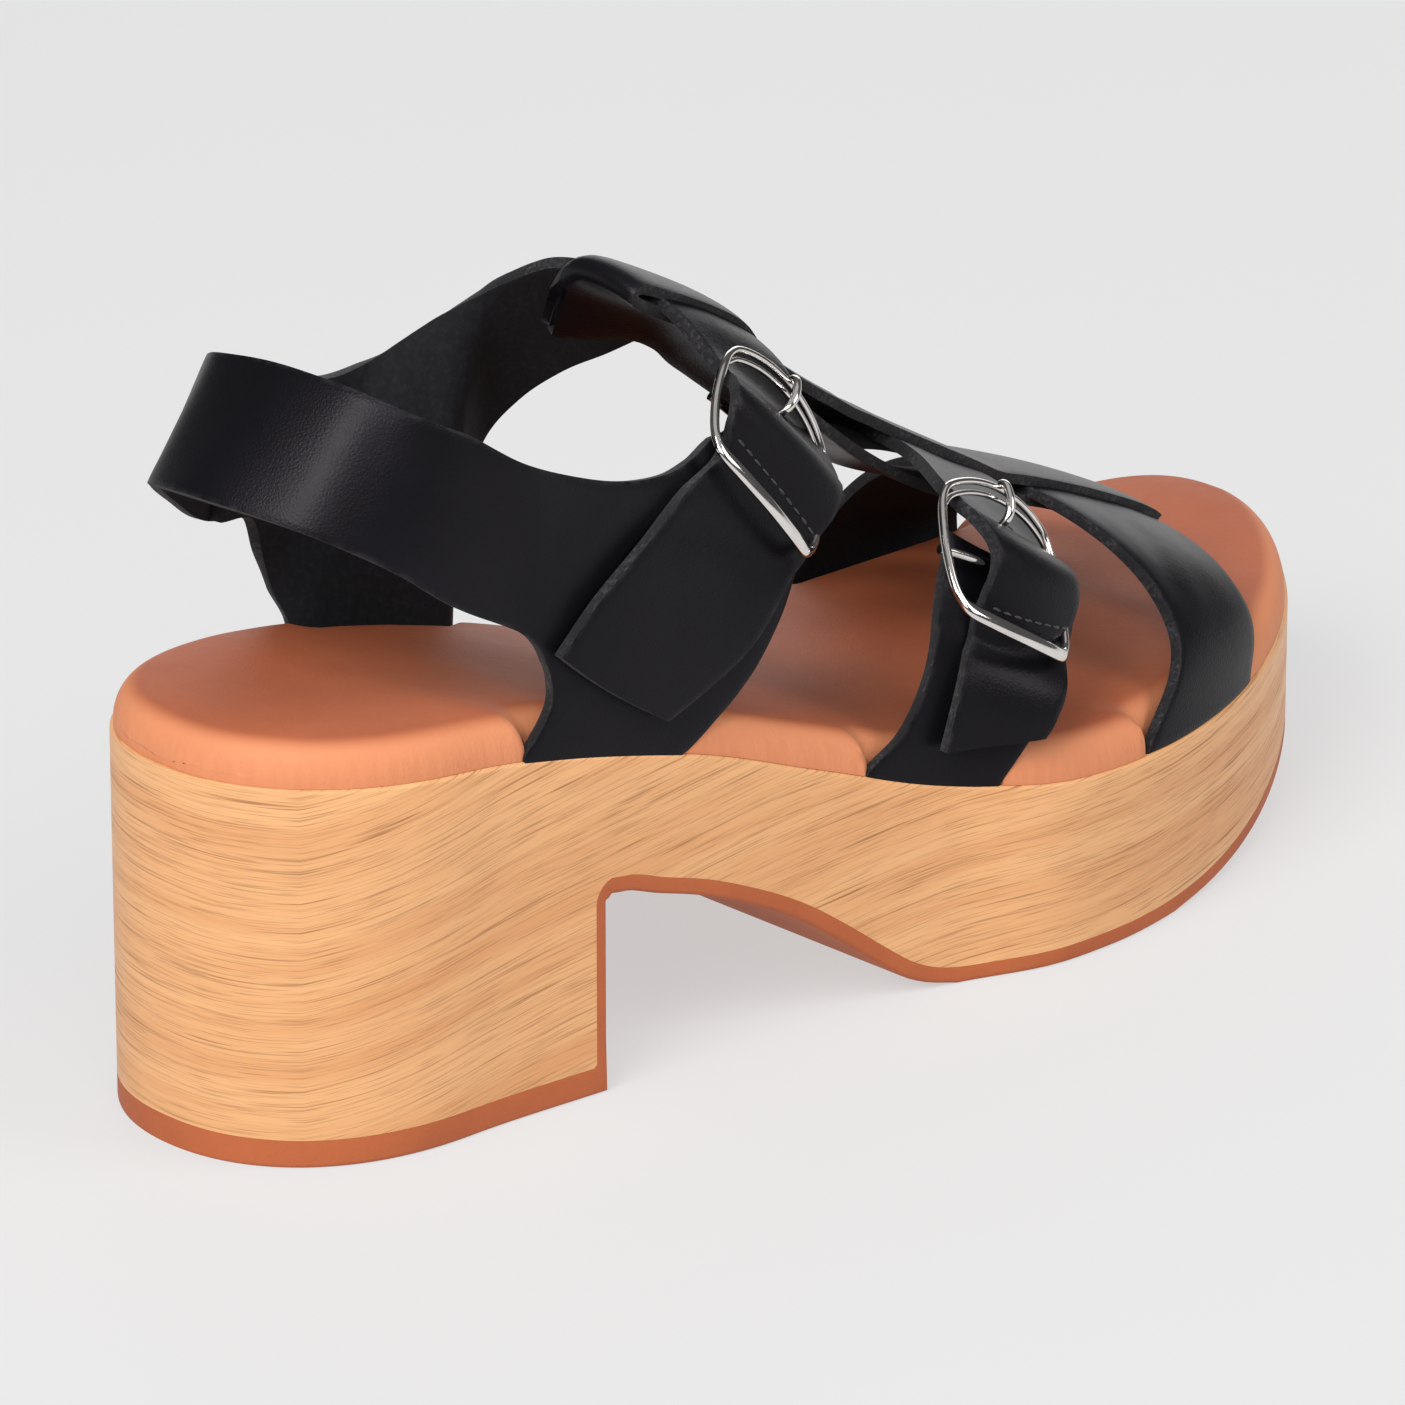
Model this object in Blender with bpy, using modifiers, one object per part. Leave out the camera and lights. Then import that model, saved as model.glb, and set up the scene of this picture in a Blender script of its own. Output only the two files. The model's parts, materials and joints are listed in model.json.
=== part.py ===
"""Heeled sandal for the right foot: platform sole, padded insole, crossed leather straps and two buckles.

Lengths are in millimetres, measured from the back of the heel (y forward, x to the outer side of the
foot, z up from the floor), and are scaled to metres and centred when the meshes are made.
"""
import math
from collections import namedtuple

import bmesh
import bpy
from mathutils import Matrix, Vector

MM = 0.001
WELD = 1e-6

# Driving sizes of the sole
SOLE_LENGTH = 247.0
HEEL_HALF_WIDTH = 29.5
HEEL_ROUND_LENGTH = 35.0
HEEL_SQUARENESS = 2.26
TOE_TIP_SIDE = -18.0
LATERAL_TOE_START = 156.0
LATERAL_TOE_SQUARENESS = 1.62
MEDIAL_TOE_START = 190.0
MEDIAL_TOE_SQUARENESS = 2.8
BREAST_Y = 58.4
FIT_GAP = 0.3

# Driving sizes of the straps
LEATHER = 2.0
CROWN_SIDE = -6.0
SECTION_ROUNDNESS = 2.2

Edge = namedtuple("Edge", "y side")
Height = namedtuple("Height", "y z")

# Plan edges of the sole between the round of the heel and the round of the toe
LATERAL_EDGE = (
    Edge(35.0, 29.5),
    Edge(59.0, 31.0),
    Edge(98.0, 34.0),
    Edge(126.0, 37.6),
    Edge(143.0, 43.1),
    Edge(156.0, 43.8),
)
MEDIAL_EDGE = (
    Edge(35.0, -29.5),
    Edge(59.0, -27.5),
    Edge(84.0, -24.0),
    Edge(108.0, -27.5),
    Edge(140.0, -39.5),
    Edge(165.0, -43.4),
    Edge(190.0, -44.0),
)

# Side view of the sole block: its top, and its underside in front of the heel
BLOCK_TOP = (
    Height(0.0, 60.4),
    Height(20.0, 59.4),
    Height(42.0, 57.5),
    Height(58.0, 54.8),
    Height(80.0, 49.4),
    Height(102.0, 41.4),
    Height(124.0, 33.8),
    Height(145.0, 30.2),
    Height(170.0, 28.9),
    Height(195.0, 28.6),
    Height(222.0, 29.2),
    Height(247.0, 30.8),
)

# Inner face of the straps along the ridge of the instep, and up the front of the ankle
INSTEP = (
    Height(20.0, 300.0),
    Height(60.0, 172.0),
    Height(76.0, 130.0),
    Height(88.0, 114.0),
    Height(97.0, 109.0),
    Height(106.0, 104.5),
    Height(118.0, 96.5),
    Height(128.0, 88.0),
    Height(136.0, 80.5),
    Height(148.0, 72.5),
    Height(158.0, 66.5),
    Height(168.0, 62.0),
    Height(181.0, 57.5),
    Height(195.0, 51.5),
    Height(210.0, 45.5),
)

# Straps as rows across them, each row from its low end to its high end on the last; a tilt turns it there.
# A free row stands off the last and gives the places of its two ends.
LastRow = namedtuple("LastRow", "low_y low_turn high_y high_turn lift tilt", defaults=(0.0,))
SideRow = namedtuple("SideRow", "low_y low_z high_y high_z lateral lift")
FreeRow = namedtuple("FreeRow", "low_side low_y low_z high_side high_y high_z")
HeelRow = namedtuple("HeelRow", "turn low high lift")
LoopRow = namedtuple("LoopRow", "y lift")
Notch = namedtuple("Notch", "lateral start end")

TOE_BAND = (
    LastRow(164.5, 0.0, 199.0, 0.0, 0.0),
    LastRow(174.5, 15.0, 203.0, 15.0, 0.0),
    LastRow(178.5, 30.0, 204.5, 30.0, 0.0),
    LastRow(178.5, 50.0, 205.0, 50.0, 0.0),
    LastRow(177.0, 70.0, 204.0, 70.0, 0.0),
    LastRow(176.0, 90.0, 202.0, 90.0, 0.0),
    LastRow(176.0, 110.0, 201.0, 110.0, 0.0),
    LastRow(176.0, 130.0, 201.5, 130.0, 0.0),
    LastRow(175.0, 150.0, 203.0, 150.0, 0.0),
    LastRow(171.5, 165.0, 205.5, 165.0, 0.0),
    LastRow(164.0, 180.0, 207.0, 180.0, 0.0),
)
MID_STRAP = (
    LastRow(126.0, 180.0, 149.0, 180.0, 0.0),
    LastRow(131.0, 166.0, 153.0, 166.0, 0.0),
    LastRow(135.0, 150.0, 155.5, 150.0, 0.0),
    LastRow(140.0, 130.0, 159.5, 130.0, 0.6),
    LastRow(143.5, 110.0, 162.0, 110.0, 1.5),
    LastRow(145.0, 90.0, 163.5, 90.0, 1.5),
    LastRow(145.0, 75.0, 163.5, 71.0, 1.3),
    LastRow(139.5, 55.0, 157.0, 52.5, 1.3, -2.2),
    LastRow(133.5, 38.8, 150.5, 38.3, 5.6, -1.7),
    LastRow(129.5, 26.0, 146.0, 25.0, 0.2, -1.0),
    LastRow(128.0, 19.0, 144.5, 17.0, 2.2),
    LastRow(126.5, 12.0, 142.5, 11.5, 3.4),
    LastRow(123.5, 4.0, 140.0, 7.5, 3.4),
)
MID_BUCKLE_ROW = 8
MID_TAB = (
    LastRow(111.0, 0.0, 135.0, 0.0, 0.0),
    LastRow(118.5, 5.5, 139.0, 5.0, 0.0),
    LastRow(124.5, 16.0, 144.0, 14.0, 0.0),
    LastRow(128.5, 29.0, 147.5, 27.0, -0.6, -0.8),
    LastRow(130.0, 33.6, 148.8, 32.6, -0.9, -1.2),
)
# Heel sling, from its end sewn on the medial quarter, round the back, to the lateral side
SLING = (
    FreeRow(-33.9, 50.3, 75.7, -31.6, 52.3, 99.6),
    FreeRow(-31.8, 44.8, 79.0, -29.1, 46.6, 102.6),
    HeelRow(-78.0, 82.5, 106.0, 1.2),
    HeelRow(-65.0, 88.5, 109.0, 0.6),
    HeelRow(-50.0, 93.2, 111.6, 0.1),
    HeelRow(-30.0, 96.8, 114.0, 0.0),
    HeelRow(0.0, 98.9, 116.0, 0.0),
    HeelRow(30.0, 97.7, 115.3, 0.0),
    HeelRow(50.0, 94.3, 113.3, 0.0),
    HeelRow(65.0, 89.8, 111.0, 0.0),
    HeelRow(78.0, 83.6, 108.4, 0.0),
)
# Lateral quarter, from the sling down to its foot on the sole and up to its buckle
LATERAL_QUARTER = (
    SideRow(46.5, 80.2, 47.0, 103.0, True, 0.0),
    SideRow(51.0, 71.4, 55.0, 99.2, True, 0.0),
    SideRow(51.6, 66.0, 66.0, 95.2, True, 0.0),
    SideRow(50.7, 62.2, 76.0, 93.2, True, 0.0),
    SideRow(49.5, 59.4, 83.0, 93.2, True, 0.0),
    SideRow(49.0, 57.6, 86.5, 93.7, True, 0.0),
    SideRow(55.5, 56.1, 88.4, 94.0, True, 0.0),
    SideRow(65.5, 54.0, 89.9, 94.2, True, 0.0),
    SideRow(75.0, 51.6, 91.1, 94.3, True, 0.0),
    SideRow(82.0, 56.3, 93.0, 93.8, True, 0.0),
    SideRow(88.0, 61.2, 97.0, 90.5, True, 0.0),
    SideRow(94.0, 66.7, 101.5, 86.2, True, -0.3),
    SideRow(100.0, 72.2, 105.5, 81.8, True, -0.9),
    SideRow(104.0, 76.0, 107.0, 78.8, True, -1.6),
)
# Medial quarter, which bulges outward over the waist of the sole and turns in to the instep
MEDIAL_QUARTER = (
    HeelRow(-80.0, 82.0, 106.0, 0.0),
    FreeRow(-30.5, 45.0, 79.2, -27.8, 47.0, 103.0),
    FreeRow(-32.5, 48.8, 71.4, -31.5, 55.0, 99.2),
    FreeRow(-31.4, 49.8, 66.0, -36.0, 66.0, 95.2),
    FreeRow(-28.4, 50.2, 61.8, -38.0, 75.5, 94.9),
    FreeRow(-26.3, 49.2, 57.6, -37.3, 81.6, 97.0),
    FreeRow(-25.5, 56.0, 56.1, -36.2, 84.6, 98.6),
    FreeRow(-24.3, 66.0, 53.9, -35.0, 86.7, 100.0),
    FreeRow(-22.6, 76.5, 51.2, -33.6, 88.3, 101.2),
    FreeRow(-28.5, 84.0, 58.0, -32.0, 90.0, 102.5),
    FreeRow(-34.5, 91.3, 66.5, -30.2, 91.5, 103.8),
    FreeRow(-37.8, 98.6, 76.0, -28.0, 92.8, 105.4),
    FreeRow(-35.5, 104.3, 82.4, -25.3, 94.0, 107.0),
    FreeRow(-30.0, 108.7, 87.5, -21.8, 95.0, 108.9),
    FreeRow(-24.0, 112.1, 91.0, -18.0, 95.6, 110.4),
    FreeRow(-17.0, 114.2, 95.3, -12.0, 95.6, 111.3),
)
# Ankle strap, from the medial quarter over the instep, through its buckle and down the lateral side
ANKLE_STRAP = (
    LastRow(113.5, 90.0, 95.5, 86.0, 1.5),
    LastRow(115.5, 70.0, 97.5, 75.0, 1.2),
    LastRow(112.4, 48.2, 98.4, 58.6, 0.2, 1.4),
    LastRow(106.6, 37.6, 94.2, 47.8, 4.9, 1.6),
    LastRow(100.8, 28.2, 89.6, 39.0, 1.4, 1.4),
    LastRow(95.5, 21.5, 80.5, 28.0, 2.3),
    LastRow(87.5, 13.0, 67.5, 17.0, 2.8),
    LastRow(78.5, 6.5, 58.0, 9.5, 2.8),
    LastRow(70.5, 2.5, 50.5, 4.8, 2.8),
)
ANKLE_BUCKLE_ROW = 3
# Instep strip: a flat loop folded round the ankle strap at the back and the toe band at the front
STRIP_LOOP = (
    LoopRow(92.5, 2.5),
    LoopRow(96.0, 3.0),
    LoopRow(112.0, 2.9),
    LoopRow(119.5, 0.4),
    LoopRow(130.0, 1.5),
    LoopRow(143.0, 2.9),
    LoopRow(163.0, 2.9),
    LoopRow(170.0, 2.0),
    LoopRow(177.0, 1.5),
    LoopRow(190.0, 1.4),
    LoopRow(201.5, 1.4),
    LoopRow(205.5, 1.0),
    LoopRow(201.5, 0.6),
    LoopRow(190.0, 0.6),
    LoopRow(177.0, 0.5),
    LoopRow(168.0, -0.8),
    LoopRow(155.0, -1.5),
    LoopRow(142.0, -1.5),
    LoopRow(129.0, -1.5),
    LoopRow(119.0, -0.8),
    LoopRow(111.0, 1.9),
    LoopRow(97.0, 2.0),
)
STRIP_LATERAL_SIDE = 4.0
STRIP_MEDIAL_SIDE = -16.0
STRIP_LEATHER = 1.7

# Heel surface above the seat: how far forward its back leans, and how it narrows
HEEL_BACK_Y = 11.0
HEEL_BACK_Z = 100.0
HEEL_LEAN = 0.876
HEEL_SIDE_Y = 45.0
HEEL_SIDE = 27.8
HEEL_SIDE_Z = 76.0
HEEL_NARROWING = 0.09
HEEL_ROUNDNESS = 2.1

# Outsole sheet and the underside of the block in front of the heel
HEEL_SHEET = 4.5
FORE_SHEET = 2.7
BREAST_SHEET = 2.2
BREAST_EASE = 0.5
ARCH_TOP = 34.6
ARCH_FILLET = 4.0
ARCH = (
    Height(63.5, 34.2),
    Height(72.0, 31.8),
    Height(81.0, 29.0),
    Height(92.0, 24.2),
    Height(100.0, 19.8),
    Height(108.0, 14.2),
    Height(115.0, 8.9),
    Height(120.0, 5.4),
    Height(125.0, 3.4),
    Height(131.0, 2.7),
)
SPRING_START = 165.0
TOE_SPRING = 14.0

# Insole
INSOLE_INSET = 0.7
INSOLE_NOTCH = 3.9
INSOLE_EDGE = 0.8
INSOLE_TIP = 1.0
INSOLE_STATIONS = 62
INSOLE_ACROSS = 12
INSOLE_END_SHARE = 0.55
INSOLE_RIM = 5.6
INSOLE_CROWN = 1.4
INSOLE_ROUND = 8.0
INSOLE_END_ROUND = 7.0
NOTCH_EASE = 2.5
NOTCHES = (
    Notch(True, 43.5, 81.5),
    Notch(True, 107.0, 140.5),
    Notch(True, 160.5, 205.0),
    Notch(False, 43.5, 93.5),
    Notch(False, 121.5, 154.5),
    Notch(False, 160.0, 211.5),
)

# Buckles
BUCKLE_WIDTH = 28.0
BUCKLE_LENGTH = 22.6
BUCKLE_SQUARENESS = 5.0
BUCKLE_WIRE = 0.95
BUCKLE_BAR_SCALE = 1.45
BUCKLE_BAR_REACH = 0.65
BUCKLE_POINTS = 36
BUCKLE_LIFT = 4.8
PRONG_WIRE = 0.8
BAR_DROP = 1.2
PRONG_START = (3.0, 3.2)
PRONG_END = (11.9, 1.9)

# Stations along the sole
END_START = 0.25
HEEL_STATIONS = 14
HEEL_FLANK_STATIONS = (35.0, 43.0, 51.0)
BREAST_SHARES = (0.35, 0.7, 1.0)
FILLET_TURNS = (30.0, 60.0)
BALL_STATIONS = (135.0, 139.0, 143.0, 147.0, 152.0, 157.0, 162.0, 167.0, 172.0, 178.0, 184.0)
TOE_STATIONS = 20
TOE_STATION_LENGTH = 57.0
BREAST_TOP = (51.0, 66.0)

# Steps of a strap between its rows, and across it
BAND_STEPS = 3
BAND_ACROSS = 4
QUARTER_ACROSS = 5

# Middle of the whole shoe's plan, put over the origin
MIDDLE_SIDE = 0.6
CENTRE = Vector((MIDDLE_SIDE, SOLE_LENGTH / 2.0, 0.0))


def smooth_value(rows, y):
    """Read a column of rows at y with a cubic through its neighbours, flat at both ends."""
    if y <= rows[0][0]:
        return rows[0][1]
    if y >= rows[-1][0]:
        return rows[-1][1]
    last = len(rows) - 1
    i = max(k for k in range(last) if rows[k][0] <= y)

    def slope(k):
        if k in (0, last):
            return 0.0 if len(rows) > 2 else (rows[1][1] - rows[0][1]) / (rows[1][0] - rows[0][0])
        return (rows[k + 1][1] - rows[k - 1][1]) / (rows[k + 1][0] - rows[k - 1][0])

    width = rows[i + 1][0] - rows[i][0]
    t = (y - rows[i][0]) / width
    h00 = 2 * t**3 - 3 * t**2 + 1
    h10 = t**3 - 2 * t**2 + t
    h01 = 3 * t**2 - 2 * t**3
    h11 = t**3 - t**2
    return h00 * rows[i][1] + h10 * width * slope(i) + h01 * rows[i + 1][1] + h11 * width * slope(i + 1)


def round_off(s, squareness):
    """Share of the full width left at a share s of the way into a rounded end."""
    s = min(max(s, 0.0), 1.0)
    return (1.0 - s**squareness) ** (1.0 / squareness)


def edge_at(y, lateral):
    """Plan edge of the sole at y, on the lateral or the medial side."""
    if y < HEEL_ROUND_LENGTH:
        share = round_off((HEEL_ROUND_LENGTH - y) / HEEL_ROUND_LENGTH, HEEL_SQUARENESS)
        return (1.0 if lateral else -1.0) * HEEL_HALF_WIDTH * share
    rows = LATERAL_EDGE if lateral else MEDIAL_EDGE
    start = LATERAL_TOE_START if lateral else MEDIAL_TOE_START
    squareness = LATERAL_TOE_SQUARENESS if lateral else MEDIAL_TOE_SQUARENESS
    if y > start:
        share = round_off((y - start) / (SOLE_LENGTH - start), squareness)
        return TOE_TIP_SIDE + (rows[-1].side - TOE_TIP_SIDE) * share
    return smooth_value(rows, y)


def block_top(y):
    return smooth_value(BLOCK_TOP, y)


def seat(y):
    """Lowest place of a strap, just over the top of the sole block."""
    return block_top(y) + 2.0 * FIT_GAP


def last_point(y, angle, lift=0.0):
    """Point of the last at y, going round from the lateral edge (0 degrees) to the medial edge (180)."""
    base = seat(y)
    crown = smooth_value(INSTEP, y) + lift
    turn = math.radians(angle)
    edge = edge_at(y, angle < 90.0)
    inset = LEATHER + FIT_GAP - lift
    reach = abs(edge - CROWN_SIDE) - inset
    power = 2.0 / SECTION_ROUNDNESS
    side = reach * abs(math.cos(turn)) ** power
    rise = (crown - base) * abs(math.sin(turn)) ** power
    return Vector((CROWN_SIDE + math.copysign(side, math.cos(turn)), y, base + rise))


def side_point(y, z, lateral, lift=0.0):
    """Point of the last at a place of the side view."""
    share = (z - seat(y)) / (smooth_value(INSTEP, y) + lift - seat(y))
    share = min(max(share, 0.0), 1.0)
    turn = math.degrees(math.asin(share ** (SECTION_ROUNDNESS / 2.0)))
    return last_point(y, turn if lateral else 180.0 - turn, lift)


def heel_point(turn, z, lift=0.0):
    """Point of the heel surface, going round from the lateral side (90 degrees) past the back (0)."""
    back = HEEL_BACK_Y + HEEL_LEAN * (z - HEEL_BACK_Z) - lift
    side = HEEL_SIDE - HEEL_NARROWING * (z - HEEL_SIDE_Z) + lift
    power = 2.0 / HEEL_ROUNDNESS
    angle = math.radians(turn)
    x = math.copysign(side * abs(math.sin(angle)) ** power, angle)
    y = back + (HEEL_SIDE_Y - back) * (1.0 - abs(math.cos(angle)) ** power)
    return Vector((x, y, z))


def ridge_point(y, side, lift):
    """Point over the ridge of the instep at a sideways place."""
    edge = edge_at(y, side > CROWN_SIDE)
    reach = abs(edge - CROWN_SIDE) - LEATHER - FIT_GAP
    share = min(abs(side - CROWN_SIDE) / reach, 1.0)
    base = block_top(y)
    drop = round_off(share, SECTION_ROUNDNESS)
    return Vector((side, y, base + (smooth_value(INSTEP, y) - base) * drop + lift))


def mix(a, b, t):
    return a + (b - a) * t


def row_point(row, v):
    """Point a share v of the way from the low end of a row to its high end."""
    if isinstance(row, HeelRow):
        return heel_point(row.turn, mix(row.low, row.high, v), row.lift)
    if isinstance(row, FreeRow):
        low = Vector((row.low_side, row.low_y, row.low_z))
        return low.lerp(Vector((row.high_side, row.high_y, row.high_z)), v)
    if isinstance(row, SideRow):
        y, z = mix(row.low_y, row.high_y, v), mix(row.low_z, row.high_z, v)
        return side_point(y, z, row.lateral, row.lift)
    lift = row.lift + row.tilt * (2.0 * v - 1.0)
    return last_point(mix(row.low_y, row.high_y, v), mix(row.low_turn, row.high_turn, v), lift)


def smooth_path(points, steps, cyclic=False):
    """Catmull-Rom curve through points, with a number of steps to each span."""
    count = len(points)
    spans = count if cyclic else count - 1
    path = []
    for i in range(spans):
        if cyclic:
            p0, p1, p2, p3 = (points[(i + k) % count] for k in (-1, 0, 1, 2))
        else:
            p1, p2 = points[i], points[i + 1]
            p0 = points[i - 1] if i else 2.0 * p1 - p2
            p3 = points[i + 2] if i + 2 < count else 2.0 * p2 - p1
        for k in range(steps):
            t = k / steps
            path.append(
                0.5 * (2.0 * p1 + (p2 - p0) * t + (2.0 * p0 - 5.0 * p1 + 4.0 * p2 - p3) * t**2
                       + (3.0 * p1 - p0 - 3.0 * p2 + p3) * t**3)
            )
    if not cyclic:
        path.append(points[-1])
    return path


def to_world(point):
    return (point - CENTRE) * MM


def new_collection(name):
    collection = bpy.data.collections.new(name)
    bpy.context.scene.collection.children.link(collection)
    return collection


def new_material(name, colour, roughness, metallic=0.0):
    material = bpy.data.materials.new(name)
    material.use_nodes = True
    shader = material.node_tree.nodes["Principled BSDF"]
    shader.inputs["Base Color"].default_value = (*colour, 1.0)
    shader.inputs["Roughness"].default_value = roughness
    shader.inputs["Metallic"].default_value = metallic
    return material


def add_object(name, mesh, collection, material=None):
    obj = bpy.data.objects.new(name, mesh)
    collection.objects.link(obj)
    if material is not None:
        mesh.materials.append(material)
    return obj


def grid_mesh(name, lines, cyclic=False):
    """Open sheet of quads through lines of points of equal length."""
    bm = bmesh.new()
    verts = [[bm.verts.new(to_world(p)) for p in line] for line in lines]
    pairs = list(zip(verts, verts[1:]))
    if cyclic:
        pairs.append((verts[-1], verts[0]))
    for a, b in pairs:
        for k in range(len(a) - 1):
            bm.faces.new((a[k], b[k], b[k + 1], a[k + 1]))
    mesh = bpy.data.meshes.new(name)
    bm.to_mesh(mesh)
    bm.free()
    return mesh


def loft_mesh(name, rings):
    """Closed solid through rings of points of equal length, with a face on each end."""
    bm = bmesh.new()
    verts = [[bm.verts.new(to_world(p)) for p in ring] for ring in rings]
    for a, b in zip(verts, verts[1:]):
        for k in range(len(a)):
            n = (k + 1) % len(a)
            bm.faces.new((a[k], b[k], b[n], a[n]))
    bm.faces.new(list(reversed(verts[0])))
    bm.faces.new(verts[-1])
    bmesh.ops.recalc_face_normals(bm, faces=bm.faces)
    mesh = bpy.data.meshes.new(name)
    bm.to_mesh(mesh)
    bm.free()
    return mesh


def band_lines(rows, across=BAND_ACROSS):
    """Lines of points along a strap, from its rows."""
    columns = []
    for j in range(across + 1):
        points = [row_point(row, j / across) for row in rows]
        columns.append(smooth_path(points, BAND_STEPS))
    for column in columns:
        for point in column:
            point.z = max(point.z, seat(point.y))
    return [list(line) for line in zip(*columns)]


def add_band(name, lines, collection, leather, cyclic=False, flip=False):
    """Strap: a sheet thickened outward by its leather."""
    if flip:
        lines = [list(reversed(line)) for line in lines]
    obj = add_object(name, grid_mesh(name, lines, cyclic), collection)
    solid = obj.modifiers.new("leather", "SOLIDIFY")
    solid.thickness = leather * MM
    solid.offset = 1.0
    return obj


def build_sole_block(collection):
    material = new_material("wood_effect", (0.83, 0.52, 0.25), 0.45)
    rings = []
    for low_y, low_z, top_y in block_stations():
        rings.append(sole_ring(low_y, low_z, top_y, block_top(top_y)))
    return add_object("sole_block", loft_mesh("sole_block", rings), collection, material)


def sole_ring(low_y, low_z, top_y, top_z):
    return [
        Vector((edge_at(low_y, False), low_y, low_z)),
        Vector((edge_at(low_y, True), low_y, low_z)),
        Vector((edge_at(top_y, True), top_y, top_z)),
        Vector((edge_at(top_y, False), top_y, top_z)),
    ]


def end_stations(length, count, start):
    """Places measured from a rounded end, close together at the end itself."""
    return [start + (length - start) * (1.0 - math.cos(0.5 * math.pi * k / count)) for k in range(count)]


def heel_stations():
    ys = end_stations(HEEL_ROUND_LENGTH, HEEL_STATIONS, END_START)
    return ys + list(HEEL_FLANK_STATIONS)


def toe_stations():
    ys = [SOLE_LENGTH - d for d in end_stations(TOE_STATION_LENGTH, TOE_STATIONS, END_START)]
    return list(BALL_STATIONS) + ys[::-1]


def spring(y):
    share = max(y - SPRING_START, 0.0) / (SOLE_LENGTH - SPRING_START)
    return TOE_SPRING * share * share


def underside_line():
    """Side view of the face between block and outsole, from the heel's back to the toe."""
    line = [(y, HEEL_SHEET) for y in heel_stations()]
    line += [(BREAST_Y - BREAST_EASE, HEEL_SHEET), (BREAST_Y, HEEL_SHEET + BREAST_EASE)]
    rise = ARCH_TOP - ARCH_FILLET
    line += [(BREAST_Y, mix(HEEL_SHEET, rise, t)) for t in BREAST_SHARES]
    for turn in FILLET_TURNS:
        angle = math.radians(turn)
        forward = ARCH_FILLET * (1.0 - math.cos(angle))
        line.append((BREAST_Y + forward, rise + ARCH_FILLET * math.sin(angle)))
    line += [(row.y, row.z) for row in ARCH]
    line += [(y, FORE_SHEET + spring(y)) for y in toe_stations()]
    return line


def block_stations():
    """Low point and top place of each section of the block."""
    line = underside_line()
    start, end = BREAST_TOP
    breast = [k for k, p in enumerate(line) if start < p[0] < end]
    first, last = breast[0], breast[-1]
    for k, (y, z) in enumerate(line):
        top_y = y
        if first <= k <= last:
            top_y = mix(start, end, (k - first + 1) / (last - first + 2))
        yield y, z + FIT_GAP, top_y


def sheet_thickness(y, z):
    if y < BREAST_Y - 2.0 * BREAST_EASE:
        return HEEL_SHEET
    if y < BREAST_Y + 2.0 * BREAST_EASE and z < ARCH_TOP - ARCH_FILLET / 2.0:
        return BREAST_SHEET
    return FORE_SHEET


def build_outsole(collection):
    """One brown sheet under the heel, up the breast, along the arch and under the forefoot."""
    material = new_material("brown_rubber", (0.38, 0.11, 0.045), 0.6)
    line = underside_line()
    rings = []
    for k, (y, z) in enumerate(line):
        before = line[max(k - 1, 0)]
        after = line[min(k + 1, len(line) - 1)]
        along = Vector((0.0, after[0] - before[0], after[1] - before[1])).normalized()
        out = Vector((0.0, along.z, -along.y)) * sheet_thickness(y, z)
        if y < BREAST_Y or z <= FORE_SHEET + END_START:
            out = Vector((0.0, 0.0, -z))
        if y == BREAST_Y and z <= HEEL_SHEET + BREAST_EASE:
            out = Vector((0.0, BREAST_SHEET, -z))
        low = Vector((0.0, y, z)) + out
        low.y = min(max(low.y, 0.0), SOLE_LENGTH)
        rings.append(sole_ring(low.y, max(low.z, 0.0), y, z))
    return add_object("outsole", loft_mesh("outsole", rings), collection, material)


def notch_inset(y, lateral):
    """How far the insole's edge stands in from the sole's edge."""
    depth = 0.0
    for notch in NOTCHES:
        if notch.lateral == lateral:
            inside = min(y - notch.start, notch.end - y)
            depth = max(depth, min(max(inside / NOTCH_EASE, 0.0), 1.0))
    return mix(INSOLE_INSET, INSOLE_NOTCH, depth)


def build_insole(collection):
    """Padded sheet on the block, its rim rounded and cut back where the straps go down past it."""
    material = new_material("tan_leather", (0.52, 0.19, 0.09), 0.5)
    start = INSOLE_INSET + END_START
    end = SOLE_LENGTH - INSOLE_INSET - END_START
    rings = []
    for n in range(INSOLE_STATIONS + 1):
        even = n / INSOLE_STATIONS
        crowded = 0.5 - 0.5 * math.cos(math.pi * even)
        y = mix(start, end, mix(even, crowded, INSOLE_END_SHARE))
        reach_heel = min((y - start) / INSOLE_END_ROUND, 1.0)
        reach_toe = min((end - y) / INSOLE_END_ROUND, 1.0)
        rim = INSOLE_RIM * round_off(1.0 - min(reach_heel, reach_toe), 2.0)
        lateral = edge_at(y, True) - notch_inset(y, True)
        medial = edge_at(y, False) + notch_inset(y, False)
        if lateral - medial < INSOLE_TIP:
            middle = 0.5 * (edge_at(y, True) + edge_at(y, False))
            lateral, medial = middle + INSOLE_TIP / 2.0, middle - INSOLE_TIP / 2.0
        base = block_top(y) + FIT_GAP
        ring = [Vector((medial, y, base)), Vector((lateral, y, base))]
        for k in range(INSOLE_ACROSS + 1):
            u = math.cos(math.pi * k / INSOLE_ACROSS)
            height = INSOLE_EDGE + rim * round_off(abs(u), INSOLE_ROUND) ** (INSOLE_ROUND / 2.0)
            height += INSOLE_CROWN * (1.0 - u * u) * rim / INSOLE_RIM
            ring.append(Vector((mix(medial, lateral, 0.5 + 0.5 * u), y, base + height)))
        rings.append(ring)
    return add_object("insole", loft_mesh("insole", rings), collection, material)


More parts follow.
